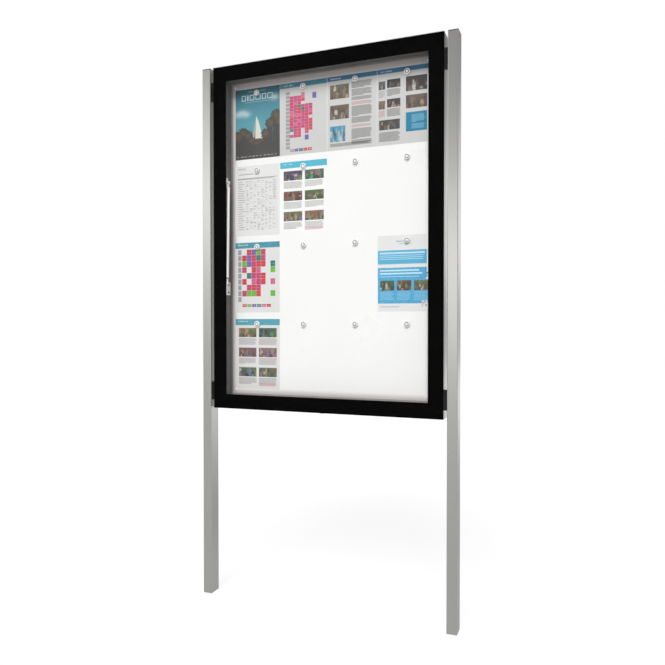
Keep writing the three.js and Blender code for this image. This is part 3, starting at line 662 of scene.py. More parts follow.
def legend(marks, left, top, inks, width=18):
    for i, colour in enumerate(inks):
        x = left + i * (width + 3)
        block(marks, x, top, x + width, top + 12, colour)
        block(marks, x + 4, top + 5, x + width - 4, top + 7, PALE_PAPER, colour)


def header(marks, colour, second=None, height=20):
    block(marks, 0, 0, PAGE_WIDTH, height, colour, second)
    block(marks, 12, 8, 60, 12, PALE_PAPER, colour)


SEA_LEVEL = 0.64
CLOUD_PUFFS = [(0.08, 0.35, 0.1), (0.17, 0.33, 0.08), (0.25, 0.36, 0.09), (0.88, 0.16, 0.09)]
TREE_CROWNS = [
    (0.05, 0.68, 0.09), (0.17, 0.62, 0.075), (0.29, 0.66, 0.07), (0.37, 0.74, 0.06),
    (0.68, 0.66, 0.07), (0.78, 0.52, 0.075), (0.92, 0.42, 0.085), (0.99, 0.5, 0.08),
]


def poster_colour(x, y):
    """Sea poster: an evening sky with a cloud, round tree tops at both sides, a white sail between."""
    across, down = x / PAGE_WIDTH, y / PAGE_HEIGHT
    colour = mix(ink(52, 96, 109), ink(88, 151, 165), min(1, down / 0.5))
    for cloud_x, cloud_y, size in CLOUD_PUFFS:
        puff = math.exp(-((across - cloud_x) / size) ** 2 - ((down - cloud_y) / (0.45 * size)) ** 2)
        colour = mix(colour, ink(186, 204, 208), 0.75 * puff)
    if down > SEA_LEVEL:
        colour = mix(ink(84, 112, 108), ink(70, 72, 70), min(1, (down - SEA_LEVEL) / 0.25))
    sail_top, sail_bottom = 0.4, 0.72
    if sail_top < down < sail_bottom:
        reach = (down - sail_top) / (sail_bottom - sail_top)
        if -0.02 * reach < across - 0.47 < 0.15 * reach ** 0.7:
            colour = ink(212, 210, 202)
        if -0.07 * reach < across - 0.455 < -0.008:
            colour = ink(168, 164, 150)
    hull = down - sail_bottom - 0.008
    if 0 < hull < 0.045 and abs(across - 0.49) < 0.15 - hull * 1.2:
        colour = ink(98, 62, 50)
    shore = 0.78 + 0.02 * math.sin(across * 17)
    in_wood = down > shore
    light = 0.0
    for crown_x, crown_y, size in TREE_CROWNS:
        distance = math.hypot((across - crown_x) * PAGE_WIDTH / PAGE_HEIGHT, down - crown_y)
        distance += 0.012 * math.sin(across * 90 + crown_x * 40) * math.sin(down * 110)
        if distance < size or (abs(across - crown_x) < 0.85 * size and down > crown_y):
            in_wood = True
            light = max(light, 1 - distance / size - 2 * max(0, down - crown_y + 0.02))
    if in_wood:
        colour = mix(ink(66, 64, 64), ink(96, 84, 72), max(0, min(1, 1.3 * light)))
    return colour


def poster_marks(marks):
    """A line of small print, a row of outlined blocks in place of a title and a foot line."""
    text_lines(marks, 62, 12, 86, 1, ink(150, 178, 184), thick=2)
    pale = ink(176, 198, 202)
    for x, width in ((30, 20), (55, 8), (68, 22), (95, 26), (126, 20), (151, 26)):
        for bar in (x, x + width - 4):
            block(marks, bar, 26, bar + 4, 50, pale)
        for y in (26, 46):
            block(marks, x, y, x + width, y + 4, pale)
    text_lines(marks, 44, 56, 118, 1, ink(146, 180, 188), thick=2)
    for x in range(8, 190, 18):
        block(marks, x, 284, x + random.choice((8, 12, 14)), 287, ink(190, 190, 188), ink(120, 118, 118))


def timetable_page(marks):
    header(marks, DEEP_TEAL)
    for row in range(15):
        hour_label(marks, 26, 36 + row * 16, 19, 12)
    inks = [MAGENTA, MAGENTA, MAGENTA, MAGENTA, PINK, RED, SEA_GREEN]
    timetable(marks, 44, 56, (17, 12.2), 14, 3, inks, (0.9, 1, 0.95))
    timetable(marks, 95, 44, (17, 12.2), 12, 1, inks, (0.95,))
    timetable(marks, 112, 92, (17, 12.2), 10, 2, inks, (0.9, 0.85))
    block(marks, 146, 50, 163, 74, VIOLET)
    block(marks, 112, 220, 129, 240, VIOLET)
    legend(marks, 46, 273, (TEXT_GREY, VIOLET, SEA_GREEN, RED, MAGENTA), 17)


def reading_page(marks):
    header(marks, BLUE, height=18)
    for y in (34, 116):
        picture(marks, 12, y, 82, 56)
    for y, count in ((30, 22), (110, 4), (128, 20), (202, 3), (218, 18)):
        text_lines(marks, 104, y, 84, count, TEXT_RED if count < 5 else TEXT_DARK)
    picture(marks, 12, 200, 66, 62, sky=ink(72, 146, 176))
    text_lines(marks, 12, 270, 176, 4, TEXT_DARK)


def mosaic_page(marks):
    header(marks, BLUE, height=18)
    for y in (46, 122):
        picture(marks, 6, y, 26, 34)
        picture(marks, 40, y - 4, 54, 32)
        text_lines(marks, 6, y + 38, 26, 8, TEXT_RED if y > 100 else TEXT_GREY)
        text_lines(marks, 40, y + 34, 54, 9, TEXT_DARK)
    picture(marks, 8, 198, 84, 40)
    text_lines(marks, 8, 246, 84, 11, TEXT_DARK)
    picture(marks, 116, 40, 84, 58)
    picture(marks, 116, 112, 84, 52)
    block(marks, 116, 178, 200, 252, ink(40, 120, 152), ink(46, 128, 160))
    text_lines(marks, 138, 188, 52, 14, ink(140, 186, 206), pitch=4)


def table_page(marks):
    text_lines(marks, 14, 10, 40, 2)
    text_lines(marks, 18, 34, 70, 1, ink(110, 112, 124), thick=2.4)
    text_lines(marks, 12, 52, 186, 2, TEXT_DARK)
    faint = ink(176, 176, 180)
    for row in range(22):
        y = 64 + row * 9.6
        block(marks, 12, y, 198, y + 0.6, faint)
        block(marks, 14, y + 2.6, 14 + random.choice((22, 30, 34)), y + 4.4, TEXT_DARK, TEXT_GREY)
        for column in range(8):
            x = 54 + column * 18
            if random.random() < 0.6:
                block(marks, x, y + 2.6, x + random.choice((6, 9, 13)), y + 4.4, TEXT_DARK, TEXT_GREY)
            if random.random() < 0.35:
                block(marks, x, y + 6, x + random.choice((6, 11)), y + 7.6, TEXT_GREY, faint)
    for column in range(9):
        x = 52 + column * 18
        block(marks, x, 64, x + 0.6, 275, faint)


def six_picture_page(marks, colour):
    header(marks, colour, height=26)
    for y in (38, 122, 206):
        for x in (16, 112):
            picture(marks, x, y, 84, 38, bright=3)
            text_lines(marks, x, y + 44, 84, 9, pitch=3.2)
    text_lines(marks, 112, 272, 80, 4, TEXT_RED, pitch=3.2)
    text_lines(marks, 16, 272, 60, 2, pitch=3.2)


def calendar_page(marks):
    header(marks, TEAL, DEEP_TEAL, height=24)
    for row in range(9):
        hour_label(marks, 13, 31 + row * 25, 16, 21)
    inks = [MAGENTA, MAGENTA, MAGENTA, PINK, RED, RED, SEA_GREEN, VIOLET, LEAF_GREEN]
    timetable(marks, 32, 29, (22.5, 25), 8, 5, inks, (0.62, 0.62, 0.75, 0.8, 0.8))
    timetable(marks, 167, 29, (22.5, 25), 8, 1, [*inks, SEA_GREEN, LEAF_GREEN], (0.6,))
    legend(marks, 34, 262, (RED, LEAF_GREEN, VIOLET, SEA_GREEN, PINK, RED), 20)


def two_block_page(marks):
    text_lines(marks, 74, 22, 62, 1, ink(120, 150, 176), thick=3)
    text_lines(marks, 84, 32, 50, 1, ink(150, 172, 192), thick=2)
    block(marks, 0, 58, PAGE_WIDTH, 112, BRIGHT_BLUE)
    for y, thick in ((66, 6), (78, 2), (85, 2), (92, 2)):
        text_lines(marks, 8, y, 180, 1, ink(196, 224, 238), thick=thick)
    block(marks, 0, 126, PAGE_WIDTH, 266, ink(74, 156, 200), BRIGHT_BLUE)
    for y, thick in ((134, 6), (146, 6), (160, 2)):
        text_lines(marks, 8, y, 170, 1, ink(196, 224, 238), thick=thick)
    for x in (10, 78, 146):
        picture(marks, x, 176, 56, 38, bright=2)
        text_lines(marks, x, 220, 54, 7, ink(150, 200, 226), pitch=5)
    text_lines(marks, 10, 276, 80, 2, ink(150, 180, 200))
    block(marks, 176, 254, 200, 278, ink(226, 228, 230), ink(160, 166, 176))


def paint_corners(mesh, name, colours):
    attribute = mesh.color_attributes.new(name, "FLOAT_COLOR", "CORNER")
    values = np.ones((len(mesh.loops), 4), dtype=np.float32)
    values[:, :3] = colours
    attribute.data.foreach_set("color", values.ravel())


def page_breaks(marks, first, size, step):
    """Where the grid of a page breaks: at regular steps and at each mark's two edges."""
    breaks = {round(edge, 2) for mark in marks for edge in (mark[first], mark[first + 2])}
    breaks = np.array(sorted(breaks | set(np.arange(0, size, step)) | {size}), dtype=float)
    return breaks[(breaks >= 0) & (breaks <= size)]


def notice_mesh(name, page_left, page_top, paper, marks, ground=None, step=MESH_STEP):
    """A printed page as a fine grid whose breaks follow its print.

    The ground function colours it point by point.
    """
    xs = page_breaks(marks, 0, PAGE_WIDTH, step)
    ys = page_breaks(marks, 1, PAGE_HEIGHT, step)
    columns, rows = len(xs) - 1, len(ys) - 1
    tones = np.empty((2, rows, columns, 4, 3), dtype=np.float32)
    tones[:] = paper
    corner_steps = ((0, 0), (1, 0), (1, 1), (0, 1))
    if ground:
        grid = np.array([[ground(x, y) for x in xs] for y in ys], dtype=np.float32)
        for corner, (down, right) in enumerate(corner_steps):
            tones[:, :, :, corner] = grid[down:rows + down, right:columns + right]
    middle_x, middle_y = (xs[1:] + xs[:-1]) / 2, (ys[1:] + ys[:-1]) / 2
    for left, top, right, bottom, first, second in marks:
        inside_y = np.flatnonzero((middle_y > top) & (middle_y < bottom))
        inside_x = np.flatnonzero((middle_x > left) & (middle_x < right))
        for layer, tone in enumerate((first, second)):
            tones[layer][np.ix_(inside_y, inside_x)] = tone
    lift_left, lift_right = random.uniform(0.2, 1), random.uniform(0.2, 1)
    points = []
    for y in ys:
        for x in xs:
            across, down = x / PAGE_WIDTH, y / PAGE_HEIGHT
            low = max(0, (down - LIFT_START) / LIFT_REACH) ** 2
            at_left, at_right = max(0, 1 - across * 2.5) ** 2, max(0, across * 2.5 - 1.5) ** 2
            lift = low * (lift_left * at_left + lift_right * at_right)
            points.append(((page_left + x) * mm, PAPER_PLANE - CORNER_LIFT * lift, (page_top - y) * mm))
    wide = columns + 1
    faces = [
        [(j + down) * wide + i + right for down, right in corner_steps]
        for j in range(rows) for i in range(columns)
    ]
    mesh = bpy.data.meshes.new(name)
    mesh.from_pydata(points, [], faces)
    for ink_name, layer in zip(INK_LAYERS, tones):
        paint_corners(mesh, ink_name, layer.reshape(-1, 3))
    return mesh


def printed_finish(name, mottling, roughness):
    """A surface that carries the inks painted on its mesh. Where the two inks differ they mottle."""
    finish, tree, shader, place = start_finish(name)
    patches = mottle(tree, place, mottling, 5, 0.7)
    first, second = (
        add_node(tree, "ShaderNodeAttribute", {}, attribute_name=ink_name).outputs["Color"]
        for ink_name in INK_LAYERS
    )
    inputs = {"Factor": spread(tree, patches, *PATCH_ENDS), "A": first, "B": second}
    inks = add_node(tree, "ShaderNodeMix", inputs, data_type="RGBA")
    tree.links.new(inks.outputs["Result"], shader.inputs["Base Color"])
    fibre = mottle(tree, place, 900, 3)
    vary_roughness(tree, fibre, roughness, shader)
    raise_surface(tree, fibre, 0.03 * mm, shader)
    return finish


printed_paper = printed_finish("printed_paper", 140, (0.5, 0.65))
PAINTED_GROUNDS = {"poster_notice": (poster_colour, POSTER_STEP)}
for name, column, row, nudge, paper, draw in (
    ("poster_notice", 0, 0, 1.8, GREY_AND_SHADED_PAPER, poster_marks),
    ("timetable_notice", 1, 0, 0, GREY_AND_SHADED_PAPER, timetable_page),
    ("reading_notice", 2, 0, -1.5, GREY_AND_SHADED_PAPER, reading_page),
    ("mosaic_notice", 3, 0, -3.3, GREY_AND_SHADED_PAPER, mosaic_page),
    ("table_notice", 0, 1, 0, PALE_PAPER, table_page),
    ("event_notice", 1, 1, 0, WHITE_PAPER, lambda marks: six_picture_page(marks, CYAN)),
    ("calendar_notice", 0, 2, 0, LIGHT_PAPER, calendar_page),
    ("block_notice", 3, 2, 0, PALE_PAPER, two_block_page),
    ("outing_notice", 0, 3, 0, LIGHT_PAPER, lambda marks: six_picture_page(marks, TEAL)),
):
    marks = []
    draw(marks)
    page_left = FIRST_PAGE_LEFT + column * COLUMN_PITCH + nudge
    page_top = FIRST_PAGE_TOP - row * ROW_PITCH
    mesh = notice_mesh(name, page_left, page_top, paper, marks, *PAINTED_GROUNDS.get(name, ()))
    notice = fit_piece(name, mesh, printed_paper, "frame")
    mesh.shade_flat()
    add_modifier(notice, "paper thickness", "SOLIDIFY", thickness=PAPER_THICKNESS, offset=0)

# Sixteen round magnets in gloss white plastic, four rows of four.
# Each has a soft edge and a thin grey ring printed on its face.
MAGNET_RADIUS = 12
MAGNET_HEIGHT = 8
MAGNET_FOOT = 0.8
MAGNET_EDGE = 1.6
MAGNET_DOME = 0.5
RING_INNER, RING_OUTER = 5.7, 8.0
MAGNET_WHITE = (0.86, 0.86, 0.85)
RING_GREY = (0.055, 0.05, 0.08)
MAGNET_SHADES = 1, 0.94


def magnet_button(name):
    """A magnet in millimetres about Z. It is scaled when it is placed."""
    face = MAGNET_HEIGHT - MAGNET_DOME
    foot, shoulder = MAGNET_RADIUS - MAGNET_FOOT, MAGNET_RADIUS - MAGNET_EDGE
    mesh = turned(name, [
        (0, 0), (foot, 0), *rounded(MAGNET_FOOT, MAGNET_FOOT, foot, MAGNET_FOOT, -60, 0, 3),
        *rounded(MAGNET_EDGE, MAGNET_EDGE, shoulder, face - MAGNET_EDGE, 10, 84, 6),
        (9.4, face + 0.1), (RING_OUTER, face + 0.22), (RING_OUTER - 0.05, face + 0.17),
        (RING_INNER + 0.05, face + 0.24), (RING_INNER, face + 0.3), (3, face + 0.43), (0, MAGNET_HEIGHT),
    ], 40)
    ring = []
    for polygon in mesh.polygons:
        radius = math.hypot(polygon.center.x, polygon.center.y)
        on_ring = RING_INNER < radius < RING_OUTER and polygon.center.z > face
        ring += [RING_GREY if on_ring else MAGNET_WHITE] * polygon.loop_total
    for ink_name, shade in zip(INK_LAYERS, MAGNET_SHADES):
        paint_corners(mesh, ink_name, np.array(ring) * shade)
    return mesh


gloss_white = printed_finish("gloss_white_plastic", 30, (0.18, 0.26))
magnet_item = add_object("magnet_item", magnet_button("magnet_item"))
magnet_nodes = sorted(name for name in frame["nodes"] if name.startswith("magnet_"))
magnet_places = []
for node in magnet_nodes:
    low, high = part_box(node)
    magnet_places.append(((low.x + high.x) / 2, high.y, (low.z + high.z) / 2))
fit_items(
    "magnets", magnet_places, magnet_item, FACING_FRONT, (mm, mm, mm),
    gloss_white, "frame", magnet_nodes,
)

# The continuous hinge runs along the top: two stainless leaves with knuckles on one pin.
# Flat rivets hold each leaf, sunk almost flush in the narrow gap between them.
HINGE_RIVET_SIZE = (6 * mm, 6 * mm, 0.14 * mm)
HINGE_RIVET_PITCH = 56 * mm
HINGE_RIVET_RISE = 11 * mm
LEAF_FACE = 0.3 * mm
for name, node, body in (
    ("case_hinge_leaf", "hinge_leaf_case", "frame"),
    ("door_hinge_leaf", "hinge_leaf_door", "door"),
    ("hinge_rod", "hinge_pin", "frame"),
):
    fit_node(name, node, level_steel, body, 0.1)

hinge_rivet_profile = [(0, -0.5), (0.5, -0.5), (0.5, 0.3), (0.44, 0.85), (0.2, 1), (0.12, 0.6), (0, 0.6)]
hinge_rivet_item = add_object("hinge_rivet_item", turned("hinge_rivet_item", hinge_rivet_profile, 20))
leaf_low, leaf_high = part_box("hinge_leaf_case")
hinge_middle = (leaf_low.y + leaf_high.y) / 2
rivet_count = int((leaf_high.x - leaf_low.x) / HINGE_RIVET_PITCH)
for name, body, face, turn in (
    ("case_hinge_rivets", "frame", hinge_middle + LEAF_FACE, FACING_FRONT),
    ("door_hinge_rivets", "door", hinge_middle - LEAF_FACE, (-math.pi / 2, 0, 0)),
):
    rivet_places = [
        ((i - (rivet_count - 1) / 2) * HINGE_RIVET_PITCH, face, leaf_low.z + HINGE_RIVET_RISE)
        for i in range(rivet_count)
    ]
    fit_items(
        name, rivet_places, hinge_rivet_item, turn, HINGE_RIVET_SIZE, level_steel, body,
    )

# The door's frame: four mitred hollow bars of satin aluminium, bonded to the glass,
# with an angle key inside each corner and a black rubber seal in a groove at the back.
RUBBER_TONES = (0.016, 0.016, 0.016), (0.038, 0.037, 0.036)
# Its faces round the panel get the same dull dark grey of painted shade as the case's.
fit_frame("door", "door", 0.2)
for corner in ("upper_left", "upper_right", "lower_right", "lower_left"):
    fit_node(f"corner_key_{corner}", f"door_cleat_{corner}", mill_aluminium, "door", 0.3)

rubber = worn_finish(
    "seal_rubber", RUBBER_TONES, (50, 6), (2200, 2), (0.6, 0.8), 0.05 * mm, ends=(0.4, 0.75),
)
fit_node("door_seal", "door_gasket", rubber, "door", 0.8)

# The pane covers the whole front. It is toughened glass with a coating that keeps
# its reflections low, and its ground edges look dark beside the black print.
GLASS_TINT = (0.988, 0.99, 0.987, 1)
GLASS_REFLECTION = (0.006, 0.006, 0.006, 1)
GLASS_IOR = 1.05
GROUND_EDGE_TONES = (0.03, 0.034, 0.032), (0.045, 0.05, 0.047)

door_glass, tree, shader, place = start_finish("clear_glass", {
    "Base Color": GLASS_TINT, "Transmission Weight": 1, "IOR": GLASS_IOR, "Specular Tint": GLASS_REFLECTION,
})
vary_roughness(tree, mottle(tree, place, 3, 5), (0.0, 0.02), shader)
for_shadows = add_node(tree, "ShaderNodeBsdfTransparent", {"Color": GLASS_TINT}).outputs["BSDF"]
ray_kind = tree.nodes.new("ShaderNodeLightPath").outputs
coated = shader.outputs["BSDF"]
for kind in ("Is Shadow Ray", "Is Diffuse Ray"):
    either = add_node(tree, "ShaderNodeMixShader", {"Fac": ray_kind[kind], 1: coated, 2: for_shadows})
    coated = either.outputs["Shader"]
tree.links.new(coated, tree.nodes["Material Output"].inputs["Surface"])

ground_edge = worn_finish(
    "ground_glass_edge", GROUND_EDGE_TONES, (80, 4), (1500, 2), (0.5, 0.65), 0.02 * mm,
)
pane = fit_node("glass_pane", "door_glass", door_glass, "door", 0.2)
pane.data.materials.append(ground_edge)
for face in pane.data.polygons:
    face.material_index = int(abs(face.normal.y) < 0.5)

# A black border is printed on the back of the pane and hides the bars behind it.
# The print is bonded to the glass, so it hardly reflects by itself.
PRINT_TONES = (0.0025, 0.0025, 0.0025), (0.003, 0.003, 0.003)
PRINT_IOR = 1.05
black_print, tree, shader, place = start_finish("black_print", {"IOR": PRINT_IOR})
patches = mottle(tree, place, 25, 5)
blend_tones(tree, patches, PRINT_TONES, shader.inputs["Base Color"])
vary_roughness(tree, patches, (0.5, 0.6), shader)
fit_node("printed_border", "glass_border", black_print, "door", 0.05)

# Each strut has a bracket on the case and one on the door: stainless plates
# with a ball stud, held by two screws each against the inner walls.
BRACKET_SCREW_SIZE = (9.5 * mm, 9.5 * mm, 1.8 * mm)
BRACKET_PLATE = 2 * mm
CASE_SCREW_Y, CASE_SCREW_SPACING = -0.5 * mm, 32 * mm
DOOR_SCREW_Y, DOOR_SCREW_SPACING = -21.6 * mm, 26 * mm
BRIGHT_STEEL_TONES = (0.80, 0.80, 0.79), (0.88, 0.88, 0.87)
BLACKENED_TONES = (0.02, 0.02, 0.021), (0.04, 0.04, 0.042)
bright_steel = brushed_steel("bright_steel", UPRIGHT, BRIGHT_STEEL_TONES, (0.3, 0.42))
blackened_steel = brushed_steel("blackened_steel", LEVEL, BLACKENED_TONES, (0.4, 0.55))
for side, sign in (("left", -1), ("right", 1)):
    for kind, body, screw_y, spacing in (
        ("case", "frame", CASE_SCREW_Y, CASE_SCREW_SPACING),
        ("door", "door", DOOR_SCREW_Y, DOOR_SCREW_SPACING),
    ):
        name = f"{side}_{kind}_bracket"
        node = f"strut_bracket_{kind}_{side}"
        low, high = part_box(node)
        plate_face = (low.x if sign < 0 else high.x) - sign * BRACKET_PLATE
        middle = (low.z + high.z) / 2
        fit_node(name, node, bright_steel, body, 0.3)
        screw_places = [(plate_face, screw_y, middle + end * spacing / 2) for end in (-1, 1)]
        fit_items(
            f"{name}_screws", screw_places, screw_item, (0, -sign * math.pi / 2, 0), BRACKET_SCREW_SIZE,
            blackened_steel, body,
        )

# Gas struts: a lacquered steel tube closed by a rolled edge round the rod,
# a hard-chromed rod with its piston inside, and a grey moulded socket at each end.
TUBE_TONES = (0.88, 0.885, 0.88), (0.93, 0.935, 0.93)
CHROME_TONES = (0.56, 0.565, 0.57), (0.66, 0.665, 0.67)
SOCKET_TONES = (0.74, 0.74, 0.72), (0.82, 0.82, 0.80)
TUBE_START, TUBE_END = 25.36, 407.84
TUBE_RADIUS, TUBE_BORE = 6, 4.8
TUBE_CAP = 8
GROOVE_START = 11
GUIDE_LENGTH = 12
ROD_RADIUS, ROD_BORE = 3, 3.3
THREAD_RADIUS, THREAD_LENGTH = 2, 9
ROD_START, PISTON_START, PISTON_END = 20.3, 373.84, 381.84
PISTON_RADIUS = 4.5
PISTON_EDGE = 0.4

strut_enamel = worn_finish(
    "strut_lacquer", TUBE_TONES, ((40, 40, 8), 5), ((700, 700, 500), 2), (0.22, 0.34), 0.02 * mm,
)
chromed = worn_finish("hard_chrome", CHROME_TONES, ((8, 8, 4500), 2), None, (0.08, 0.18), 0.004 * mm, 1)
grey_plastic = worn_finish("grey_moulding", SOCKET_TONES, (120, 6), (1800, 2), (0.38, 0.52), 0.03 * mm)


def threaded(start, end, radius, pitch=0.7, depth=0.28):
    """Profile points of a fine thread drawn as rings, from start to end."""
    points = []
    turns = int(abs(end - start) / pitch)
    step = (end - start) / turns
    for i in range(turns):
        points += [(radius - depth, start + i * step), (radius, start + (i + 0.5) * step)]
    return points + [(radius - depth, end)]


tube_profile = [
    (ROD_BORE, TUBE_START), *rounded(0.9, 0.9, TUBE_RADIUS - 0.9, TUBE_START + 0.9, -90, 0, 5),
    *((TUBE_RADIUS - sunk, TUBE_START + GROOVE_START + along) for along, sunk in (
        (0, 0), (0.8, 0.25), (1.8, 0.45), (2.8, 0.25), (3.6, 0),
    )),
    *rounded(0.8, 0.8, TUBE_RADIUS - 0.8, TUBE_END - 0.8, 0, 90, 5),
    (2.6, TUBE_END), *threaded(TUBE_END, TUBE_END + THREAD_LENGTH, THREAD_RADIUS),
    (0, TUBE_END + THREAD_LENGTH), (0, TUBE_END - TUBE_CAP), (TUBE_BORE, TUBE_END - TUBE_CAP),
    (TUBE_BORE, TUBE_START + GUIDE_LENGTH), (ROD_BORE, TUBE_START + GUIDE_LENGTH),
    (ROD_BORE, TUBE_START + GUIDE_LENGTH / 2),
]
rod_profile = [
    (0, ROD_START - THREAD_LENGTH), *threaded(ROD_START - THREAD_LENGTH, ROD_START - 0.3, THREAD_RADIUS),
    (2.4, ROD_START), (ROD_RADIUS, ROD_START + 0.6), (ROD_RADIUS, PISTON_START),
    (PISTON_RADIUS - PISTON_EDGE, PISTON_START), (PISTON_RADIUS, PISTON_START + PISTON_EDGE),
    (PISTON_RADIUS, PISTON_END - PISTON_EDGE), (PISTON_RADIUS - PISTON_EDGE, PISTON_END), (0, PISTON_END),
]
joints = {joint["name"]: joint for joint in frame["joints"]}
for side in ("left", "right"):
    foot = Vector(joints[f"strut_swing_{side}"]["pos_m"])
    line = Vector(joints[f"strut_extend_{side}"]["axis"])
    along_strut = Matrix.Translation(foot) @ Vector((0, 0, 1)).rotation_difference(line).to_matrix().to_4x4()
    along_strut = along_strut @ Matrix.Scale(mm, 4)
    tube, rod = f"strut_cylinder_{side}", f"strut_rod_{side}"
    for name, profile, steps, finish, body, slot in (
        (f"{side}_strut_tube", tube_profile, 40, strut_enamel, tube, "strut_enamel"),
        (f"{side}_strut_rod", rod_profile, 32, chromed, rod, "chromed_rod"),
    ):
        fit_piece(name, turned(name, profile, steps, along_strut), finish, body, [body], corner=50)
    for level, body in (("lower", rod), ("upper", tube)):
        node = f"strut_socket_{level}_{side}"
        fit_node(f"{side}_{level}_socket", node, grey_plastic, body, 0.25)

# The cam lock hangs under the lower door bar, on the middle of the board.
# Its body and plug are chromed, and a stainless cam hooks behind the case.
LOCK_BORE = 5.3
LOCK_FLANGE, LOCK_FLANGE_HEIGHT = 9.5, 2
LOCK_BARREL, LOCK_TOP = 7.5, 24
lock_chrome = worn_finish("lock_chrome", CHROME_TONES, ((300, 300, 60), 5), None, (0.1, 0.22), 0.004 * mm, 1)
lock_low, lock_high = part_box("lock_body")
lock_foot = Vector(((lock_low.x + lock_high.x) / 2, (lock_low.y + lock_high.y) / 2, lock_low.z))
lock_profile = [
    (LOCK_BORE, 0), (7.4, 0), (7.6, 0.25), (8.2, 0.25), (8.4, 0),
    *rounded(0.6, 0.6, LOCK_FLANGE - 0.6, 0.6, -90, 0, 4),
    (LOCK_FLANGE, LOCK_FLANGE_HEIGHT), (LOCK_BARREL, LOCK_FLANGE_HEIGHT),
    *threaded(LOCK_FLANGE_HEIGHT + 3, LOCK_TOP - 1, LOCK_BARREL, 1, 0.35),
    (LOCK_BARREL - 0.5, LOCK_TOP), (LOCK_BORE, LOCK_TOP),
]
housing = turned("lock_housing", lock_profile, 48, Matrix.Translation(lock_foot) @ Matrix.Scale(mm, 4))
fit_piece("lock_housing", housing, lock_chrome, "door", ["lock_body"])
fit_node("key_plug", "lock_plug", lock_chrome, "lock", 0.15)
fit_node("hooked_cam", "lock_cam", level_steel, "lock", 0.2)

# The single screw, rivets and magnet were only patterns for the placed ones.
for item in (screw_item, rivet_item, magnet_item, hinge_rivet_item):
    bpy.data.objects.remove(item)

# The studio: a wide pale floor that runs off to white, and a white sky
# whose brightness falls away behind the camera at eye height and above it.
FLOOR_HALF = 14
FLOOR_TONES = (0.13, 0.13, 0.13), (0.1313, 0.1313, 0.1313)
FLOOR_GLOW_NEAR, FLOOR_GLOW_FAR = 0.885, 0.93
FLOOR_NEAR, FLOOR_FAR = 0.9, 2.8
FLOOR_BOUNCE = 0.25
FLOOR_GLOSS_FRONT, FLOOR_GLOSS_BEHIND = 0.33, 0.8
FLOOR_GLOSS_START, FLOOR_GLOSS_END = 1.5, 7
SKY_TILT = (0.3, 0, 1)
SKY_STEPS = [
    (-1.25, 0.45), (-0.2, 0.5), (-0.12, 0.5), (-0.07, 0.85), (-0.02, 1.4), (0.03, 1.6), (0.08, 1.35),
    (0.13, 0.8), (0.2, 0.36), (0.35, 0.26), (0.5, 0.35), (0.7, 0.4), (1.25, 0.4),
]
BACKDROP_STEPS = [
    (-1.25, 0.6), (-0.12, 0.8), (-0.04, 0.55), (0.03, 0.55), (0.09, 0.95), (0.2, 0.9), (0.28, 0.55),
    (0.36, 0.28), (0.5, 0.3), (0.7, 0.4), (1.25, 0.4),
]
BACKDROP_START, BACKDROP_END = -0.1, 0.3


def either_value(tree, share, first, second):
    return add_node(tree, "ShaderNodeMix", {"Factor": share, "A": first, "B": second}).outputs["Result"]


floor_mesh = bpy.data.meshes.new("floor")
floor_corners = [(x * FLOOR_HALF, y * FLOOR_HALF, 0) for x, y in ((-1, -1), (1, -1), (1, 1), (-1, 1))]
floor_mesh.from_pydata(floor_corners, [], [(0, 1, 2, 3)])
floor_finish, tree, shader, place = start_finish("studio_floor", {
    "Roughness": 1, "Specular IOR Level": 0, "Emission Color": (1, 1, 1, 1),
})
blend_tones(tree, mottle(tree, place, 2, 3), FLOOR_TONES, shader.inputs["Base Color"])
away = add_node(tree, "ShaderNodeVectorMath", {0: place}, operation="LENGTH").outputs["Value"]
glow = spread(
    tree, away, FLOOR_NEAR, FLOOR_FAR, FLOOR_GLOW_NEAR, FLOOR_GLOW_FAR, interpolation_type="SMOOTHSTEP",
)
depth = add_node(tree, "ShaderNodeSeparateXYZ", {"Vector": place}).outputs["Y"]
mirrored = spread(
    tree, depth, FLOOR_GLOSS_START, FLOOR_GLOSS_END, FLOOR_GLOSS_FRONT, FLOOR_GLOSS_BEHIND,
    interpolation_type="SMOOTHSTEP",
)
ray_kind = tree.nodes.new("ShaderNodeLightPath").outputs
by_diffuse = either_value(tree, ray_kind["Is Diffuse Ray"], glow, FLOOR_BOUNCE)
by_gloss = either_value(tree, ray_kind["Is Glossy Ray"], by_diffuse, mirrored)
tree.links.new(by_gloss, shader.inputs["Emission Strength"])
floor_mesh.materials.append(floor_finish)
floor = add_object("floor", floor_mesh)

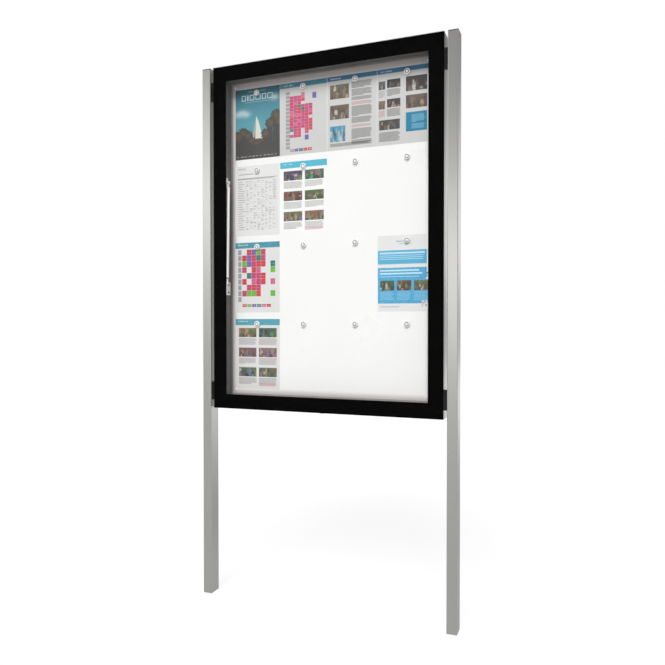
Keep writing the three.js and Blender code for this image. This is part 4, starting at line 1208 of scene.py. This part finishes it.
world = bpy.data.worlds.new("studio_sky")
world.use_nodes = True
bpy.context.scene.world = world
tree = world.node_tree
sky = tree.nodes["Background"]
sky.inputs["Color"].default_value = (1, 1, 1, 1)
direction = tree.nodes.new("ShaderNodeTexCoord").outputs["Generated"]


def sky_band(steps, tilt):
    """Brightness by height above the horizon, drawn through these steps."""
    low, high = steps[0][0], steps[-1][0]
    height = add_node(tree, "ShaderNodeVectorMath", {0: direction, 1: tilt}, operation="DOT_PRODUCT")
    share = spread(tree, height.outputs["Value"], low, high)
    curve = add_node(tree, "ShaderNodeFloatCurve", {"Value": share})
    points = curve.mapping.curves[0].points
    for step, level in steps[1:-1]:
        points.new((step - low) / (high - low), level / 2)
    points[0].location = (0, steps[0][1] / 2)
    points[len(points) - 1].location = (1, steps[-1][1] / 2)
    for point in points:
        point.handle_type = "VECTOR"
    curve.mapping.update()
    return worked(tree, "MULTIPLY", curve.outputs["Value"], 2)


behind = add_node(tree, "ShaderNodeSeparateXYZ", {"Vector": direction}).outputs["Y"]
studio = either_value(
    tree, spread(tree, behind, BACKDROP_START, BACKDROP_END),
    sky_band(SKY_STEPS, SKY_TILT), sky_band(BACKDROP_STEPS, (0, 0, 1)),
)
ray_kind = tree.nodes.new("ShaderNodeLightPath").outputs
undiffused = worked(tree, "LESS_THAN", ray_kind["Diffuse Depth"], 0.5)
through = worked(tree, "MULTIPLY", ray_kind["Is Transmission Ray"], undiffused)
direct = worked(tree, "MAXIMUM", ray_kind["Is Camera Ray"], through)
tree.links.new(either_value(tree, direct, studio, 1), sky.inputs["Strength"])

# The key light is a wide, distant source high in front, above the pane's mirror direction.
KEY_FROM = Vector((0.1, -1.4, 1.5))
KEY_SPREAD = math.radians(26)
KEY_STRENGTH = 2.62
key_data = bpy.data.lights.new("key_light", "SUN")
key_data.angle = KEY_SPREAD
key_data.energy = KEY_STRENGTH
key = add_object("key_light", key_data)
key.rotation_euler = (-KEY_FROM).to_track_quat("-Z", "Y").to_euler()
key.visible_glossy = False

bpy.context.scene.view_settings.view_transform = "Standard"
